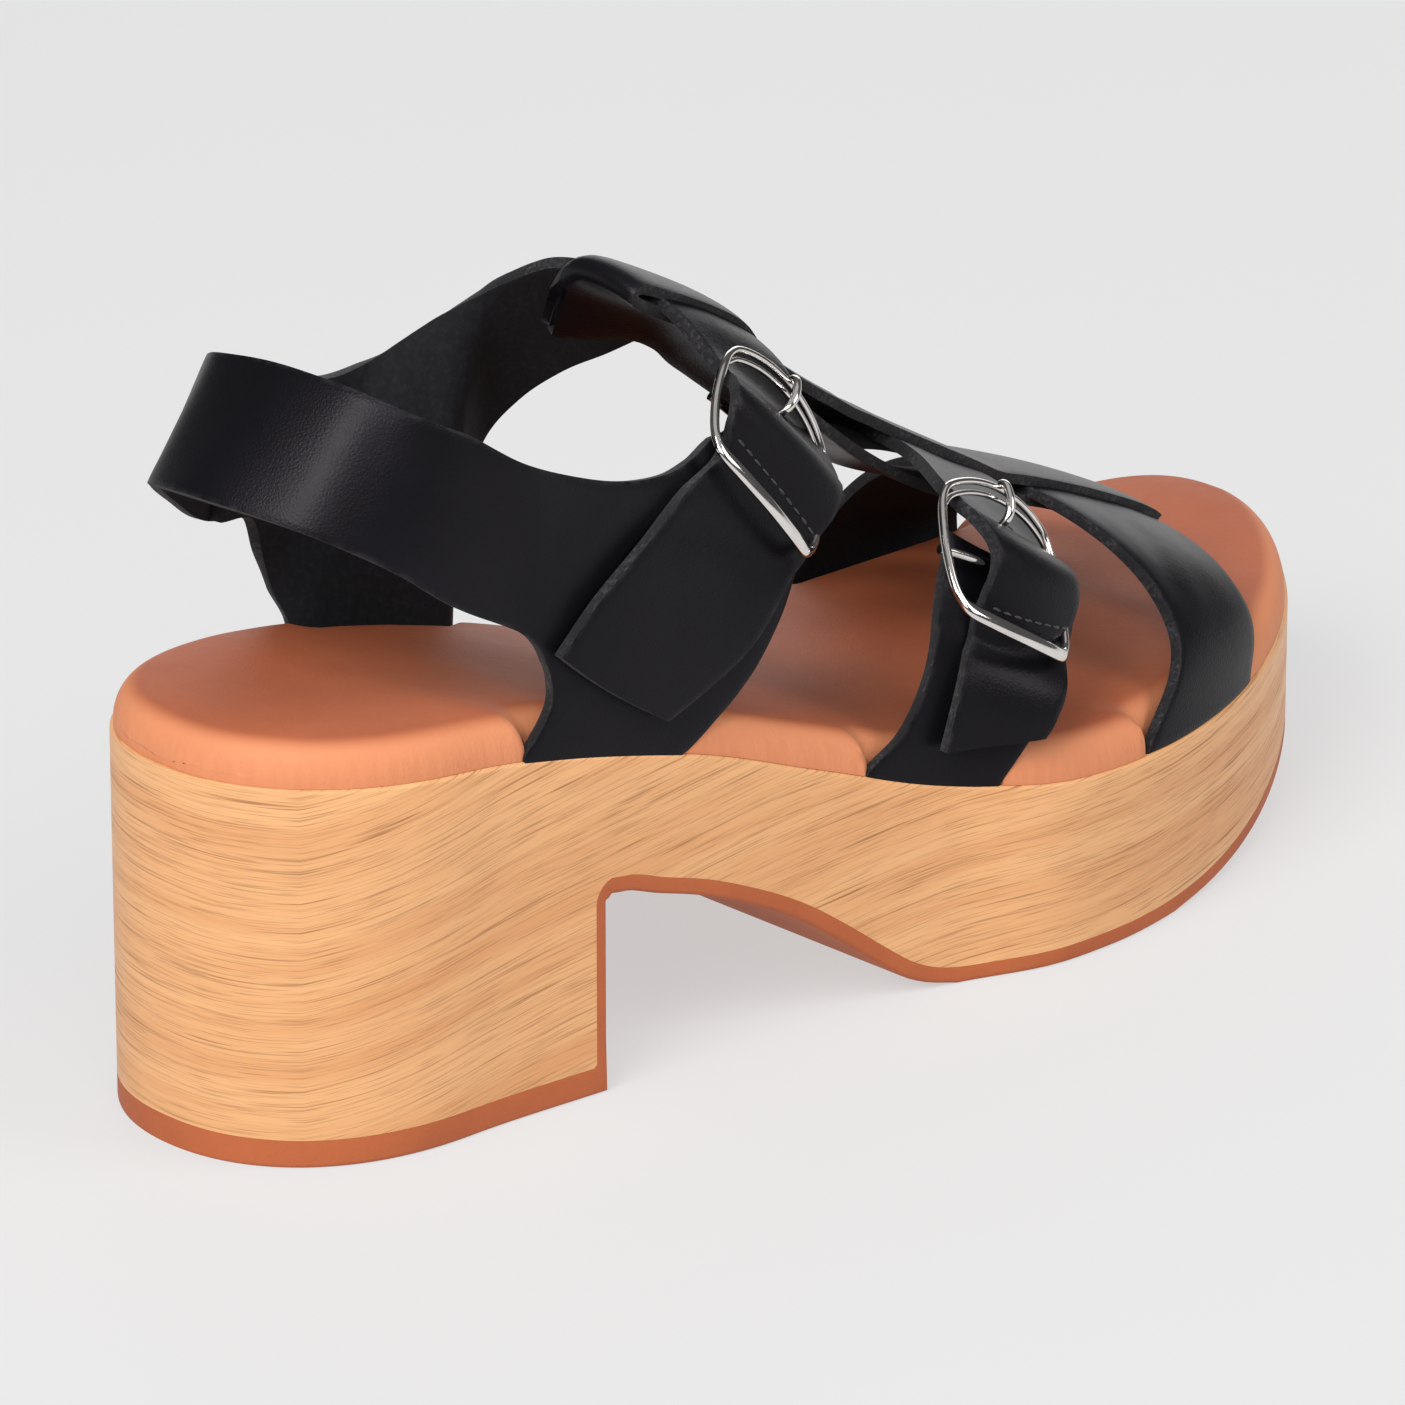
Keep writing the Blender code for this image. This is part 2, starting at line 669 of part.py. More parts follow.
def strip_lines():
    """Lines along the folded loop of the instep strip."""
    columns = []
    for j in range(BAND_ACROSS + 1):
        side = mix(STRIP_LATERAL_SIDE, STRIP_MEDIAL_SIDE, j / BAND_ACROSS)
        points = [ridge_point(row.y, side, row.lift) for row in STRIP_LOOP]
        columns.append(smooth_path(points, BAND_STEPS, cyclic=True))
    return [list(line) for line in zip(*columns)]


def build_upper(collection, cutters):
    """All straps, joined where they cross."""
    material = new_material("black_leather", (0.012, 0.012, 0.015), 0.45)
    lateral = band_lines(SLING + LATERAL_QUARTER, QUARTER_ACROSS)
    medial = band_lines(MEDIAL_QUARTER + ANKLE_STRAP, QUARTER_ACROSS)
    upper = add_band("upper", band_lines(TOE_BAND), collection, LEATHER, flip=True)
    upper.data.materials.append(material)
    pieces = [
        add_band("instep_strip", strip_lines(), cutters, STRIP_LEATHER, cyclic=True),
        add_band("mid_strap", band_lines(MID_STRAP), cutters, LEATHER),
        add_band("mid_tab", band_lines(MID_TAB), cutters, LEATHER, flip=True),
        add_band("medial_quarter_and_ankle_strap", medial, cutters, LEATHER, flip=True),
        add_band("sling_and_lateral_quarter", lateral, cutters, LEATHER),
    ]
    for piece in pieces:
        piece.hide_render = True
        piece.display_type = "WIRE"
        union = upper.modifiers.new(piece.name, "BOOLEAN")
        union.operation = "UNION"
        union.solver = "EXACT"
        union.object = piece
    return upper


def strap_frame(rows, index):
    """Place of a buckle on its strap: centre, across the strap, up the strap, and outward."""

    def middle(row):
        return row_point(row, 0.5)

    row = rows[index]._replace(lift=BUCKLE_LIFT)
    across = (row_point(row, 1.0) - row_point(row, 0.0)).normalized()
    up = middle(rows[index - 1]) - middle(rows[index + 1])
    out = across.cross(up).normalized()
    if out.x < 0.0:
        out = -out
    up = out.cross(across).normalized()
    if up.z < 0.0:
        up = -up
        across = -across
    place = Matrix((across, up, out)).transposed().to_4x4()
    place.translation = to_world(middle(row))
    return place


def tube_object(name, points, wire, collection, cyclic=False, radii=None):
    """Round wire along points given in the tube's own frame."""
    curve = bpy.data.curves.new(name, "CURVE")
    curve.dimensions = "3D"
    curve.bevel_depth = wire * MM
    curve.bevel_resolution = 2
    curve.use_fill_caps = not cyclic
    spline = curve.splines.new("POLY")
    spline.points.add(len(points) - 1)
    spline.use_cyclic_u = cyclic
    for k, (target, point) in enumerate(zip(spline.points, points)):
        target.co = (*(c * MM for c in point), 1.0)
        target.radius = radii[k] if radii else 1.0
    obj = bpy.data.objects.new(name, curve)
    collection.objects.link(obj)
    return obj


def buckle_ring():
    """Points and thickness of a buckle's frame, with its lower bar thicker."""
    points, radii = [], []
    half_width = BUCKLE_WIDTH / 2.0 - BUCKLE_WIRE
    half_length = BUCKLE_LENGTH / 2.0 - BUCKLE_WIRE
    power = 2.0 / BUCKLE_SQUARENESS
    for k in range(BUCKLE_POINTS):
        angle = 2.0 * math.pi * k / BUCKLE_POINTS
        c, s = math.cos(angle), math.sin(angle)
        points.append((
            math.copysign(half_width * abs(c) ** power, c),
            math.copysign(half_length * abs(s) ** power, s),
            0.0,
        ))
        radii.append(BUCKLE_BAR_SCALE if s < -BUCKLE_BAR_REACH else 1.0)
    return points, radii


def as_mesh(obj, collection, material):
    """The object's evaluated shape as a welded mesh object in its place."""
    bpy.context.view_layer.update()
    shape = obj.evaluated_get(bpy.context.evaluated_depsgraph_get())
    mesh = bpy.data.meshes.new_from_object(shape)
    bm = bmesh.new()
    bm.from_mesh(mesh)
    bmesh.ops.remove_doubles(bm, verts=bm.verts, dist=WELD)
    bmesh.ops.recalc_face_normals(bm, faces=bm.faces)
    bm.to_mesh(mesh)
    bm.free()
    name, place = obj.name, obj.matrix_world.copy()
    bpy.data.objects.remove(obj)
    mesh.materials.clear()
    result = add_object(name, mesh, collection, material)
    result.name = name
    result.matrix_world = place
    return result


def build_buckle(name, rows, index, collection, cutters, material):
    """Frame with its centre bar, and the prong that lies over the strap on the upper bar."""
    place = strap_frame(rows, index)
    points, radii = buckle_ring()
    ring = tube_object(name + "_frame", points, BUCKLE_WIRE, collection, True, radii)
    ring.matrix_world = place
    frame = as_mesh(ring, collection, material)
    half_width = BUCKLE_WIDTH / 2.0 - BUCKLE_WIRE
    ends = [(-half_width, 0.0, -BAR_DROP), (half_width, 0.0, -BAR_DROP)]
    bar = tube_object(name + "_bar", ends, PRONG_WIRE, cutters)
    bar.matrix_world = place
    bar = as_mesh(bar, cutters, material)
    bar.hide_render = True
    bar.display_type = "WIRE"
    union = frame.modifiers.new("centre_bar", "BOOLEAN")
    union.operation = "UNION"
    union.solver = "EXACT"
    union.object = bar
    prong = tube_object(name + "_prong", [(0.0, *PRONG_START), (0.0, *PRONG_END)], PRONG_WIRE, collection)
    prong.matrix_world = place
    prong.data.materials.append(material)


def main():
    for obj in list(bpy.data.objects):
        bpy.data.objects.remove(obj)
    parts = new_collection("heeled_sandal")
    cutters = new_collection("joined_shapes")
    build_sole_block(parts)
    build_outsole(parts)
    build_insole(parts)
    build_upper(parts, cutters)
    nickel = new_material("polished_nickel", (0.82, 0.8, 0.78), 0.12, 1.0)
    build_buckle("ankle_buckle", ANKLE_STRAP, ANKLE_BUCKLE_ROW, parts, cutters, nickel)
    build_buckle("mid_buckle", MID_STRAP, MID_BUCKLE_ROW, parts, cutters, nickel)


if __name__ == "__main__":
    main()
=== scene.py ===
"""Dresses the heeled sandal: leather straps, padded insole, wood-effect sole, rubber outsole and buckles.

Shapes are laid out in millimetres from the back of the heel (y forward, x to the outer side of the foot,
z up from the floor) and turned into the model's metres when a mesh is made.
"""

import json
import logging
import math
from dataclasses import dataclass, field
from enum import Enum
from typing import Any, Mapping, Protocol, Sequence

import bmesh
import bpy
from mathutils import Matrix, Vector, kdtree, noise

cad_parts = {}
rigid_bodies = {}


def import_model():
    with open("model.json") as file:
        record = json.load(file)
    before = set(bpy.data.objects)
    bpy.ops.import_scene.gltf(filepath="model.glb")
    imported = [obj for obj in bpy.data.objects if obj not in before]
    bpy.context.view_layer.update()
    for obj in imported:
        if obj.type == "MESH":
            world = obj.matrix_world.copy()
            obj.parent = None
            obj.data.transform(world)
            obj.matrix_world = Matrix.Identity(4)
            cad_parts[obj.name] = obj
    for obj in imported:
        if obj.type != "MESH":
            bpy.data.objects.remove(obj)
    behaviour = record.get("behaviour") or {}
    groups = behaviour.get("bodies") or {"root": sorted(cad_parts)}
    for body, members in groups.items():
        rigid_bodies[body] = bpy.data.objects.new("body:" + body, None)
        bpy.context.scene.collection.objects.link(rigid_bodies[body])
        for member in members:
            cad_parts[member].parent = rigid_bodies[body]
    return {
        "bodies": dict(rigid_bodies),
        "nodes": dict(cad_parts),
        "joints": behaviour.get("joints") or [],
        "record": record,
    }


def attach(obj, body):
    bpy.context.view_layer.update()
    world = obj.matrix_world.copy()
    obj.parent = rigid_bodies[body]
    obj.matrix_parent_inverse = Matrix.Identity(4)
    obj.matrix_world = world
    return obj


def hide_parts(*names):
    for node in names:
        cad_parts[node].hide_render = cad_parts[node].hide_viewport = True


MM = 0.001
BODY = "root"
IMAGE_SIDE = 1405.0
CENTRE = Vector((0.6, 123.5, 0.0))
SMOOTH_ANGLE = math.radians(38.0)
CORNER_TURNS = (30.0, 60.0, 90.0)
FINE_STITCH = (2.1, 1.6, 0.24)

Pair = tuple[float, float]
Table = tuple[Pair, ...]
Place = tuple[float, float, float]
Colour = tuple[float, float, float]
Quad = tuple[float, float, float, float]
Line = list[Vector]
Value = Any
Piece = bpy.types.Object
Mesh = bpy.types.Mesh
Material = bpy.types.Material

log = logging.getLogger("heeled_sandal")


class Side(Enum):
    """Outer or inner side of the foot."""

    LATERAL = 1.0
    MEDIAL = -1.0


def mix(a: Any, b: Any, share: float) -> Any:
    """Value a share of the way from a to b."""
    return a + (b - a) * share


def clamp(value: float) -> float:
    """Value held between nought and one."""
    return min(max(value, 0.0), 1.0)


def ease(value: float) -> float:
    """Share eased at both ends."""
    t = clamp(value)
    return t * t * (3.0 - 2.0 * t)


def round_off(share: float, squareness: float) -> float:
    """Part of the full width left at a share of the way into a rounded end."""
    return (1.0 - clamp(share) ** squareness) ** (1.0 / squareness)


def corner_at(turn: float) -> Pair:
    """How far in and how far up a rounded corner is at a turn in degrees, as shares of its size."""
    return 1.0 - math.cos(math.radians(turn)), math.sin(math.radians(turn))


def spaced(start: float, end: float, step: float) -> list[float]:
    """Places from a start up to an end, a step apart."""
    return [start + step * k for k in range(math.ceil((end - start) / step))]


def smooth_value(rows: Table, y: float) -> float:
    """Read a table at y with a cubic through its neighbours, flat at both ends.

    Args:
        rows: Places and values, in rising order of place.
        y: Place to read at.

    Returns:
        The value there.
    """
    last = len(rows) - 1
    if y <= rows[0][0]:
        return rows[0][1]
    if y >= rows[last][0]:
        return rows[last][1]
    i = max(k for k in range(last) if rows[k][0] <= y)

    def slope(k: int) -> float:
        """Slope of the table at a row."""
        (place, value), (next_place, next_value) = rows[max(k - 1, 0)], rows[min(k + 1, last)]
        return 0.0 if k in (0, last) else (next_value - value) / (next_place - place)

    width = rows[i + 1][0] - rows[i][0]
    t = (y - rows[i][0]) / width
    start = (2 * t**3 - 3 * t**2 + 1) * rows[i][1] + (t**3 - 2 * t**2 + t) * width * slope(i)
    return start + (3 * t**2 - 2 * t**3) * rows[i + 1][1] + (t**3 - t**2) * width * slope(i + 1)


def smooth_path(points: Sequence[Vector], steps: int, closed: bool = False) -> Line:
    """Curve through points, with a number of steps to each span.

    Args:
        points: Points that the curve passes.
        steps: Steps between two of them.
        closed: Whether the curve returns to its first point.

    Returns:
        The points along the curve.
    """
    count = len(points)
    path: Line = []
    for i in range(count if closed else count - 1):
        p1, p2 = points[i], points[(i + 1) % count]
        p0 = points[i - 1] if i or closed else 2.0 * p1 - p2
        p3 = points[(i + 2) % count] if i + 2 < count or closed else 2.0 * p2 - p1
        for k in range(steps):
            t = k / steps
            bend = (2.0 * p0 - 5.0 * p1 + 4.0 * p2 - p3) * t**2 + (3.0 * p1 - p0 - 3.0 * p2 + p3) * t**3
            path.append(0.5 * (2.0 * p1 + (p2 - p0) * t + bend))
    if not closed:
        path.append(points[-1].copy())
    return path


def to_world(point: Vector) -> Vector:
    """Point of the layout in the model's metres."""
    return (point - CENTRE) * MM


@dataclass(frozen=True)
class Last:
    """Form that the sole's plan and the straps follow."""

    length: float = 247.0
    heel_half_width: float = 29.5
    heel_round: float = 35.0
    heel_squareness: float = 2.26
    toe_tip_side: float = -18.0
    lateral_toe: Pair = (156.0, 1.62)
    medial_toe: Pair = (190.0, 2.8)
    fit_gap: float = 0.3
    leather: float = 2.0
    crown_side: float = -6.0
    section_roundness: float = 2.2
    heel_back: tuple[float, float, float] = (11.0, 100.0, 0.876)
    heel_side: Quad = (45.0, 27.8, 76.0, 0.09)
    heel_roundness: float = 2.1
    lateral_edge: Table = ((35.0, 29.5), (59.0, 31.0), (98.0, 34.0), (126.0, 37.6), (143.0, 43.1), (156.0, 43.8))
    medial_edge: Table = (
        (35.0, -29.5), (59.0, -27.5), (84.0, -24.0), (108.0, -27.5), (140.0, -39.5), (165.0, -43.4), (190.0, -44.0),
    )
    top_line: Table = (
        (0.0, 60.4), (20.0, 59.4), (42.0, 57.5), (58.0, 54.8), (80.0, 49.4), (102.0, 41.4), (124.0, 33.8),
        (145.0, 30.2), (170.0, 28.9), (195.0, 28.6), (222.0, 29.2), (247.0, 30.8),
    )
    instep: Table = (
        (20.0, 300.0), (60.0, 172.0), (76.0, 130.0), (88.0, 114.0), (97.0, 109.0), (106.0, 104.5), (118.0, 96.5),
        (128.0, 88.0), (136.0, 80.5), (148.0, 72.5), (158.0, 66.5), (168.0, 62.0), (181.0, 57.5), (195.0, 51.5),
        (210.0, 45.5),
    )

    def edge(self, y: float, side: Side) -> float:
        """Plan edge of the sole.

        Args:
            y: Place along the sole.
            side: Which edge.

        Returns:
            Sideways place of the edge.
        """
        if y < self.heel_round:
            return side.value * self.heel_half_width * round_off(1.0 - y / self.heel_round, self.heel_squareness)
        lateral = side is Side.LATERAL
        rows = self.lateral_edge if lateral else self.medial_edge
        start, squareness = self.lateral_toe if lateral else self.medial_toe
        if y > start:
            share = round_off((y - start) / (self.length - start), squareness)
            return mix(self.toe_tip_side, rows[-1][1], share)
        return smooth_value(rows, y)

    def top(self, y: float) -> float:
        """Height of the sole block's top."""
        return smooth_value(self.top_line, y)

    def seat(self, y: float) -> float:
        """Lowest place of a strap over the sole block."""
        return self.top(y) + 2.0 * self.fit_gap

    def point(self, y: float, turn: float, lift: float) -> Vector:
        """Point of the form, going round it from the lateral edge to the medial edge.

        Args:
            y: Place along the sole.
            turn: Degrees round, 0 at the lateral edge and 180 at the medial edge.
            lift: Height over the form.

        Returns:
            The point.
        """
        base = self.seat(y)
        angle = math.radians(turn)
        edge = self.edge(y, Side.LATERAL if turn < 90.0 else Side.MEDIAL)
        reach = abs(edge - self.crown_side) - (self.leather + self.fit_gap - lift)
        power = 2.0 / self.section_roundness
        across = reach * abs(math.cos(angle)) ** power
        rise = (smooth_value(self.instep, y) + lift - base) * abs(math.sin(angle)) ** power
        return Vector((self.crown_side + math.copysign(across, math.cos(angle)), y, base + rise))

    def side_point(self, y: float, z: float, lift: float) -> Vector:
        """Point of the form at a place of the side view, on the lateral side.

        Args:
            y: Place along the sole.
            z: Height over the floor.
            lift: Height over the form.

        Returns:
            The point.
        """
        base = self.seat(y)
        share = clamp((z - base) / (smooth_value(self.instep, y) + lift - base))
        return self.point(y, math.degrees(math.asin(share ** (self.section_roundness / 2.0))), lift)

    def heel_point(self, turn: float, z: float, lift: float) -> Vector:
        """Point round the back of the heel.

        Args:
            turn: Degrees round, 90 on the lateral side and 0 at the back.
            z: Height over the floor.
            lift: Distance off the form.

        Returns:
            The point.
        """
        back_y, back_z, lean = self.heel_back
        side_y, half, side_z, narrowing = self.heel_side
        back = back_y + lean * (z - back_z) - lift
        reach = half - narrowing * (z - side_z) + lift
        power = 2.0 / self.heel_roundness
        angle = math.radians(turn)
        x = math.copysign(reach * abs(math.sin(angle)) ** power, angle)
        return Vector((x, back + (side_y - back) * (1.0 - abs(math.cos(angle)) ** power), z))

    def ridge_point(self, y: float, across: float, lift: float) -> Vector:
        """Point over the ridge of the instep.

        Args:
            y: Place along the sole.
            across: Sideways place.
            lift: Height over the form.

        Returns:
            The point.
        """
        edge = self.edge(y, Side.LATERAL if across > self.crown_side else Side.MEDIAL)
        reach = abs(edge - self.crown_side) - self.leather - self.fit_gap
        drop = round_off(abs(across - self.crown_side) / reach, self.section_roundness)
        base = self.top(y)
        return Vector((across, y, base + (smooth_value(self.instep, y) - base) * drop + lift))


class Row(Protocol):
    """Row of points across a strap."""

    def point(self, last: Last, v: float) -> Vector:
        """Point a share v of the way across."""


@dataclass(frozen=True)
class LastRow:
    """Row given by places along the last and turns round it."""

    low_y: float
    low_turn: float
    high_y: float
    high_turn: float
    lift: float = 0.0
    tilt: float = 0.0

    def point(self, last: Last, v: float) -> Vector:
        """Point a share v of the way across."""
        lift = self.lift + self.tilt * (2.0 * v - 1.0)
        return last.point(mix(self.low_y, self.high_y, v), mix(self.low_turn, self.high_turn, v), lift)


@dataclass(frozen=True)
class SideRow:
    """Row on the lateral side, given by its ends in the side view."""

    low_y: float
    low_z: float
    high_y: float
    high_z: float
    lift: float = 0.0

    def point(self, last: Last, v: float) -> Vector:
        """Point a share v of the way across."""
        return last.side_point(mix(self.low_y, self.high_y, v), mix(self.low_z, self.high_z, v), self.lift)


@dataclass(frozen=True)
class FreeRow:
    """Row that stands off the last, given by the places of its two ends."""

    low: Place
    high: Place

    def point(self, last: Last, v: float) -> Vector:
        """Point a share v of the way across."""
        return Vector(self.low).lerp(Vector(self.high), v)


@dataclass(frozen=True)
class HeelRow:
    """Row round the back of the heel, given by its heights."""

    turn: float
    low: float
    high: float
    lift: float = 0.0

    def point(self, last: Last, v: float) -> Vector:
        """Point a share v of the way across."""
        return last.heel_point(self.turn, mix(self.low, self.high, v), self.lift)


@dataclass(frozen=True)
class LoopRow:
    """Row across the instep strip."""

    y: float
    lift: float
    lateral: float = 4.0
    medial: float = -16.0

    def point(self, last: Last, v: float) -> Vector:
        """Point a share v of the way across."""
        return last.ridge_point(self.y, mix(self.lateral, self.medial, v), self.lift)


def rows_of(kind: type[Any], *values: tuple[Any, ...]) -> tuple[Any, ...]:
    """Rows of one kind, from the values of each."""
    return tuple(kind(*row) for row in values)


class Wire:
    """A shader socket that adds Math nodes when it is used in an expression."""

    def __init__(self, shade: "Shade", socket: bpy.types.NodeSocket) -> None:
        """Keep the socket and the material that it is in."""
        self.shade = shade
        self.socket = socket

    def _math(self, operation: str, *values: Value) -> "Wire":
        """One Math node of these values."""
        return self.shade.node("ShaderNodeMath", {"operation": operation}, dict(enumerate(values)))

    def __add__(self, other: Value) -> "Wire":
        """Sum."""
        return self._math("ADD", self, other)

    __radd__ = __add__

    def __sub__(self, other: Value) -> "Wire":
        """Difference."""
        return self._math("SUBTRACT", self, other)

    def __rsub__(self, other: Value) -> "Wire":
        """Difference from a number."""
        return self._math("SUBTRACT", other, self)

    def __mul__(self, other: Value) -> "Wire":
        """Product."""
        return self._math("MULTIPLY", self, other)

    __rmul__ = __mul__

    def __rpow__(self, other: Value) -> "Wire":
        """A number raised to this."""
        return self._math("POWER", other, self)

    def least(self, other: Value) -> "Wire":
        """The smaller of two values."""
        return self._math("MINIMUM", self, other)

    def most(self, other: Value) -> "Wire":
        """The larger of two values."""
        return self._math("MAXIMUM", self, other)

    def sine(self) -> "Wire":
        """Sine of the value."""
        return self._math("SINE", self)

    def span(self, low: float, high: float) -> "Wire":
        """The value's eased place between two limits.

        Args:
            low: Value that gives nought.
            high: Value that gives one.

        Returns:
            The place.
        """
        settings = {"interpolation_type": "SMOOTHSTEP", "clamp": True}
        sockets = {"Value": self, "From Min": low, "From Max": high}
        return self.shade.node("ShaderNodeMapRange", settings, sockets)


class Shade:
    """A material being wired up round one Principled shader."""

    def __init__(self, name: str, colour: Colour, roughness: float, **constants: Any) -> None:
        """Make the material.

        Args:
            name: Name of the material.
            colour: Base colour where nothing varies it.
            roughness: Roughness where nothing varies it.
            **constants: Values of other shader sockets, named with underscores.
        """
        self.material = bpy.data.materials.new(name)
        self.material.use_nodes = True
        self.tree = self.material.node_tree
        self.shader = self.tree.nodes["Principled BSDF"]
        self.shader.inputs["Base Color"].default_value = (*colour, 1.0)
        self.shader.inputs["Roughness"].default_value = roughness
        self.material.diffuse_color = (*colour, 1.0)
        for key, value in constants.items():
            self.shader.inputs[key.replace("_", " ")].default_value = value

    def node(self, kind: str, settings: Mapping[str, Any], sockets: Mapping[Any, Value], out: Any = 0) -> Wire:
        """Add a node.

        Args:
            kind: Type of the node.
            settings: Its properties.
            sockets: Values or links of its inputs, by name or number.
            out: Output that is wanted.

        Returns:
            The wanted output.
        """
        made = self.tree.nodes.new(kind)
        for key, value in settings.items():
            setattr(made, key, value)
        for key, value in sockets.items():
            self._feed(made.inputs[key], value)
        return Wire(self, made.outputs[out])

    def _feed(self, socket: bpy.types.NodeSocket, value: Value) -> None:
        """Link a wire to a socket, or set a plain value on it.

        Args:
            socket: Input of a node.
            value: Wire, number, colour or vector.
        """
        if isinstance(value, Wire):
            self.tree.links.new(value.socket, socket)
        elif isinstance(value, tuple) and socket.type == "RGBA":
            socket.default_value = (*value, 1.0)
        else:
            socket.default_value = value

    def place(self) -> Wire:
        """Place on the piece, in metres."""
        return self.node("ShaderNodeTexCoord", {}, {}, "Object")

    def parts(self, vector: Wire) -> tuple[Wire, Wire, Wire]:
        """Split a vector.

        Args:
            vector: The vector.

        Returns:
            Its three parts.
        """
        first = self.node("ShaderNodeSeparateXYZ", {}, {0: vector})
        outputs = first.socket.node.outputs
        return first, Wire(self, outputs[1]), Wire(self, outputs[2])

    def vector(self, x: Value, y: Value, z: Value) -> Wire:
        """A vector of three values."""
        return self.node("ShaderNodeCombineXYZ", {}, {0: x, 1: y, 2: z})

    def stretch(self, vector: Wire, scale: Place) -> Wire:
        """A vector scaled differently along its three parts."""
        return self.node("ShaderNodeVectorMath", {"operation": "MULTIPLY"}, {0: vector, 1: scale})

    def noise(self, vector: Wire, scale: float, detail: float = 3.0, roughness: float = 0.5) -> Wire:
        """Soft noise of about that many features a metre."""
        sockets = {"Vector": vector, "Scale": scale, "Detail": detail, "Roughness": roughness}
        return self.node("ShaderNodeTexNoise", {"noise_dimensions": "3D"}, sockets)

    def cells(self, vector: Wire, scale: float) -> Wire:
        """Distance to the edges of small cells."""
        settings = {"feature": "DISTANCE_TO_EDGE"}
        return self.node("ShaderNodeTexVoronoi", settings, {"Vector": vector, "Scale": scale}, "Distance")

    def attribute(self, name: str) -> Wire:
        """A value kept on the mesh."""
        return self.node("ShaderNodeAttribute", {"attribute_name": name}, {}, "Fac")

    def blend(self, factor: Value, first: Value, second: Value) -> Wire:
        """A colour between two colours."""
        settings = {"data_type": "RGBA", "clamp_factor": True}
        return self.node("ShaderNodeMix", settings, {0: factor, 6: first, 7: second}, 2)

    def bump(self, height: Wire, strength: float, distance: float, before: Wire | None = None) -> Wire:
        """A surface normal from a height.

        Args:
            height: Height over the surface.
            strength: Share of it that shows.
            distance: Metres that a height of one stands for.
            before: Normal to add it to.

        Returns:
            The normal.
        """
        sockets: dict[Any, Value] = {"Height": height, "Strength": strength, "Distance": distance}
        if before is not None:
            sockets["Normal"] = before
        return self.node("ShaderNodeBump", {}, sockets)

    def finish(self, **wires: Wire) -> Material:
        """Link what varies to the shader.

        Args:
            **wires: Wires by the shader socket's name, with underscores.

        Returns:
            The material.
        """
        for key, wire in wires.items():
            self._feed(self.shader.inputs[key.replace("_", " ")], wire)
        return self.material


@dataclass(frozen=True)
class BlackLeather:
    """Smooth black strap leather with a fine grain and a soft gloss."""

    colour: Colour = (0.0042, 0.0040, 0.0052)
    pale: Colour = (0.0072, 0.0067, 0.0086)
    worn: Colour = (0.03, 0.029, 0.033)
    gloss: Quad = (1.0, 0.92, 1.0, 1.0)
    specular: float = 0.13
    clouds: float = 38.0
    fibres: float = 420.0
    grain: float = 1500.0
    fine_grain: float = 3300.0
    grain_relief: Pair = (0.16, 0.0004)
    cloud_relief: Pair = (0.12, 0.002)

    def make(self) -> Material:
        """Wire up the material.

        Returns:
            The material.
        """
        shade = Shade("black_leather", self.colour, 0.42, Specular_IOR_Level=self.specular, Specular_Tint=self.gloss)
        place = shade.place()
        cloud = shade.noise(place, self.clouds, 4.0)
        fibre = shade.noise(place, self.fibres, 3.0)
        pores = shade.cells(place, self.grain)
        fine = shade.noise(place, self.fine_grain, 2.0)
        edge = shade.attribute("edge")
        worn = (1.0 - edge.span(0.0, 0.9)) * fibre.span(0.35, 0.7)
        colour = shade.blend(cloud.span(0.35, 0.75) * 0.7, self.colour, self.pale)
        colour = shade.blend(worn * 0.55, colour, self.worn)
        height = pores.least(0.35) * 0.9 + fine * 0.35 + fibre * 0.25
        normal = shade.bump(height, *self.grain_relief)
        normal = shade.bump(cloud, *self.cloud_relief, normal)
        return shade.finish(Base_Color=colour, Roughness=0.30 + cloud * 0.08 + fibre * 0.06, Normal=normal)


@dataclass(frozen=True)
class FleshSide:
    """Napped black inner side of the strap leather."""

    colour: Colour = (0.0075, 0.0075, 0.009)
    pale: Colour = (0.02, 0.019, 0.022)
    nap: float = 900.0
    clouds: float = 60.0
    relief: Pair = (0.35, 0.0005)

    def make(self) -> Material:
        """Wire up the material.

        Returns:
            The material.
        """
        shade = Shade("leather_flesh_side", self.colour, 0.85, Specular_IOR_Level=0.15, Sheen_Weight=0.02)
        place = shade.place()
        nap = shade.noise(place, self.nap, 4.0, 0.65)
        cloud = shade.noise(place, self.clouds, 3.0)
        colour = shade.blend(nap.span(0.4, 0.75) * 0.6 + cloud * 0.2, self.colour, self.pale)
        return shade.finish(Base_Color=colour, Roughness=0.72 + nap * 0.2, Normal=shade.bump(nap, *self.relief))


@dataclass(frozen=True)
class CutEdge:
    """Raw cut edge of the strap leather, grey and fibrous."""

    colour: Colour = (0.011, 0.0105, 0.012)
    pale: Colour = (0.055, 0.053, 0.057)
    fibres: float = 1400.0
    patches: float = 150.0
    relief: Pair = (0.5, 0.0006)

    def make(self) -> Material:
        """Wire up the material.

        Returns:
            The material.
        """
        shade = Shade("leather_cut_edge", self.colour, 0.85, Specular_IOR_Level=0.2, Sheen_Weight=0.08)
        place = shade.place()
        fibre = shade.noise(place, self.fibres, 4.0, 0.7)
        patch = shade.noise(place, self.patches, 3.0)
        colour = shade.blend(fibre.span(0.42, 0.72) * patch.span(0.3, 0.65), self.colour, self.pale)
        return shade.finish(Base_Color=colour, Roughness=0.75 + fibre * 0.2, Normal=shade.bump(fibre, *self.relief))


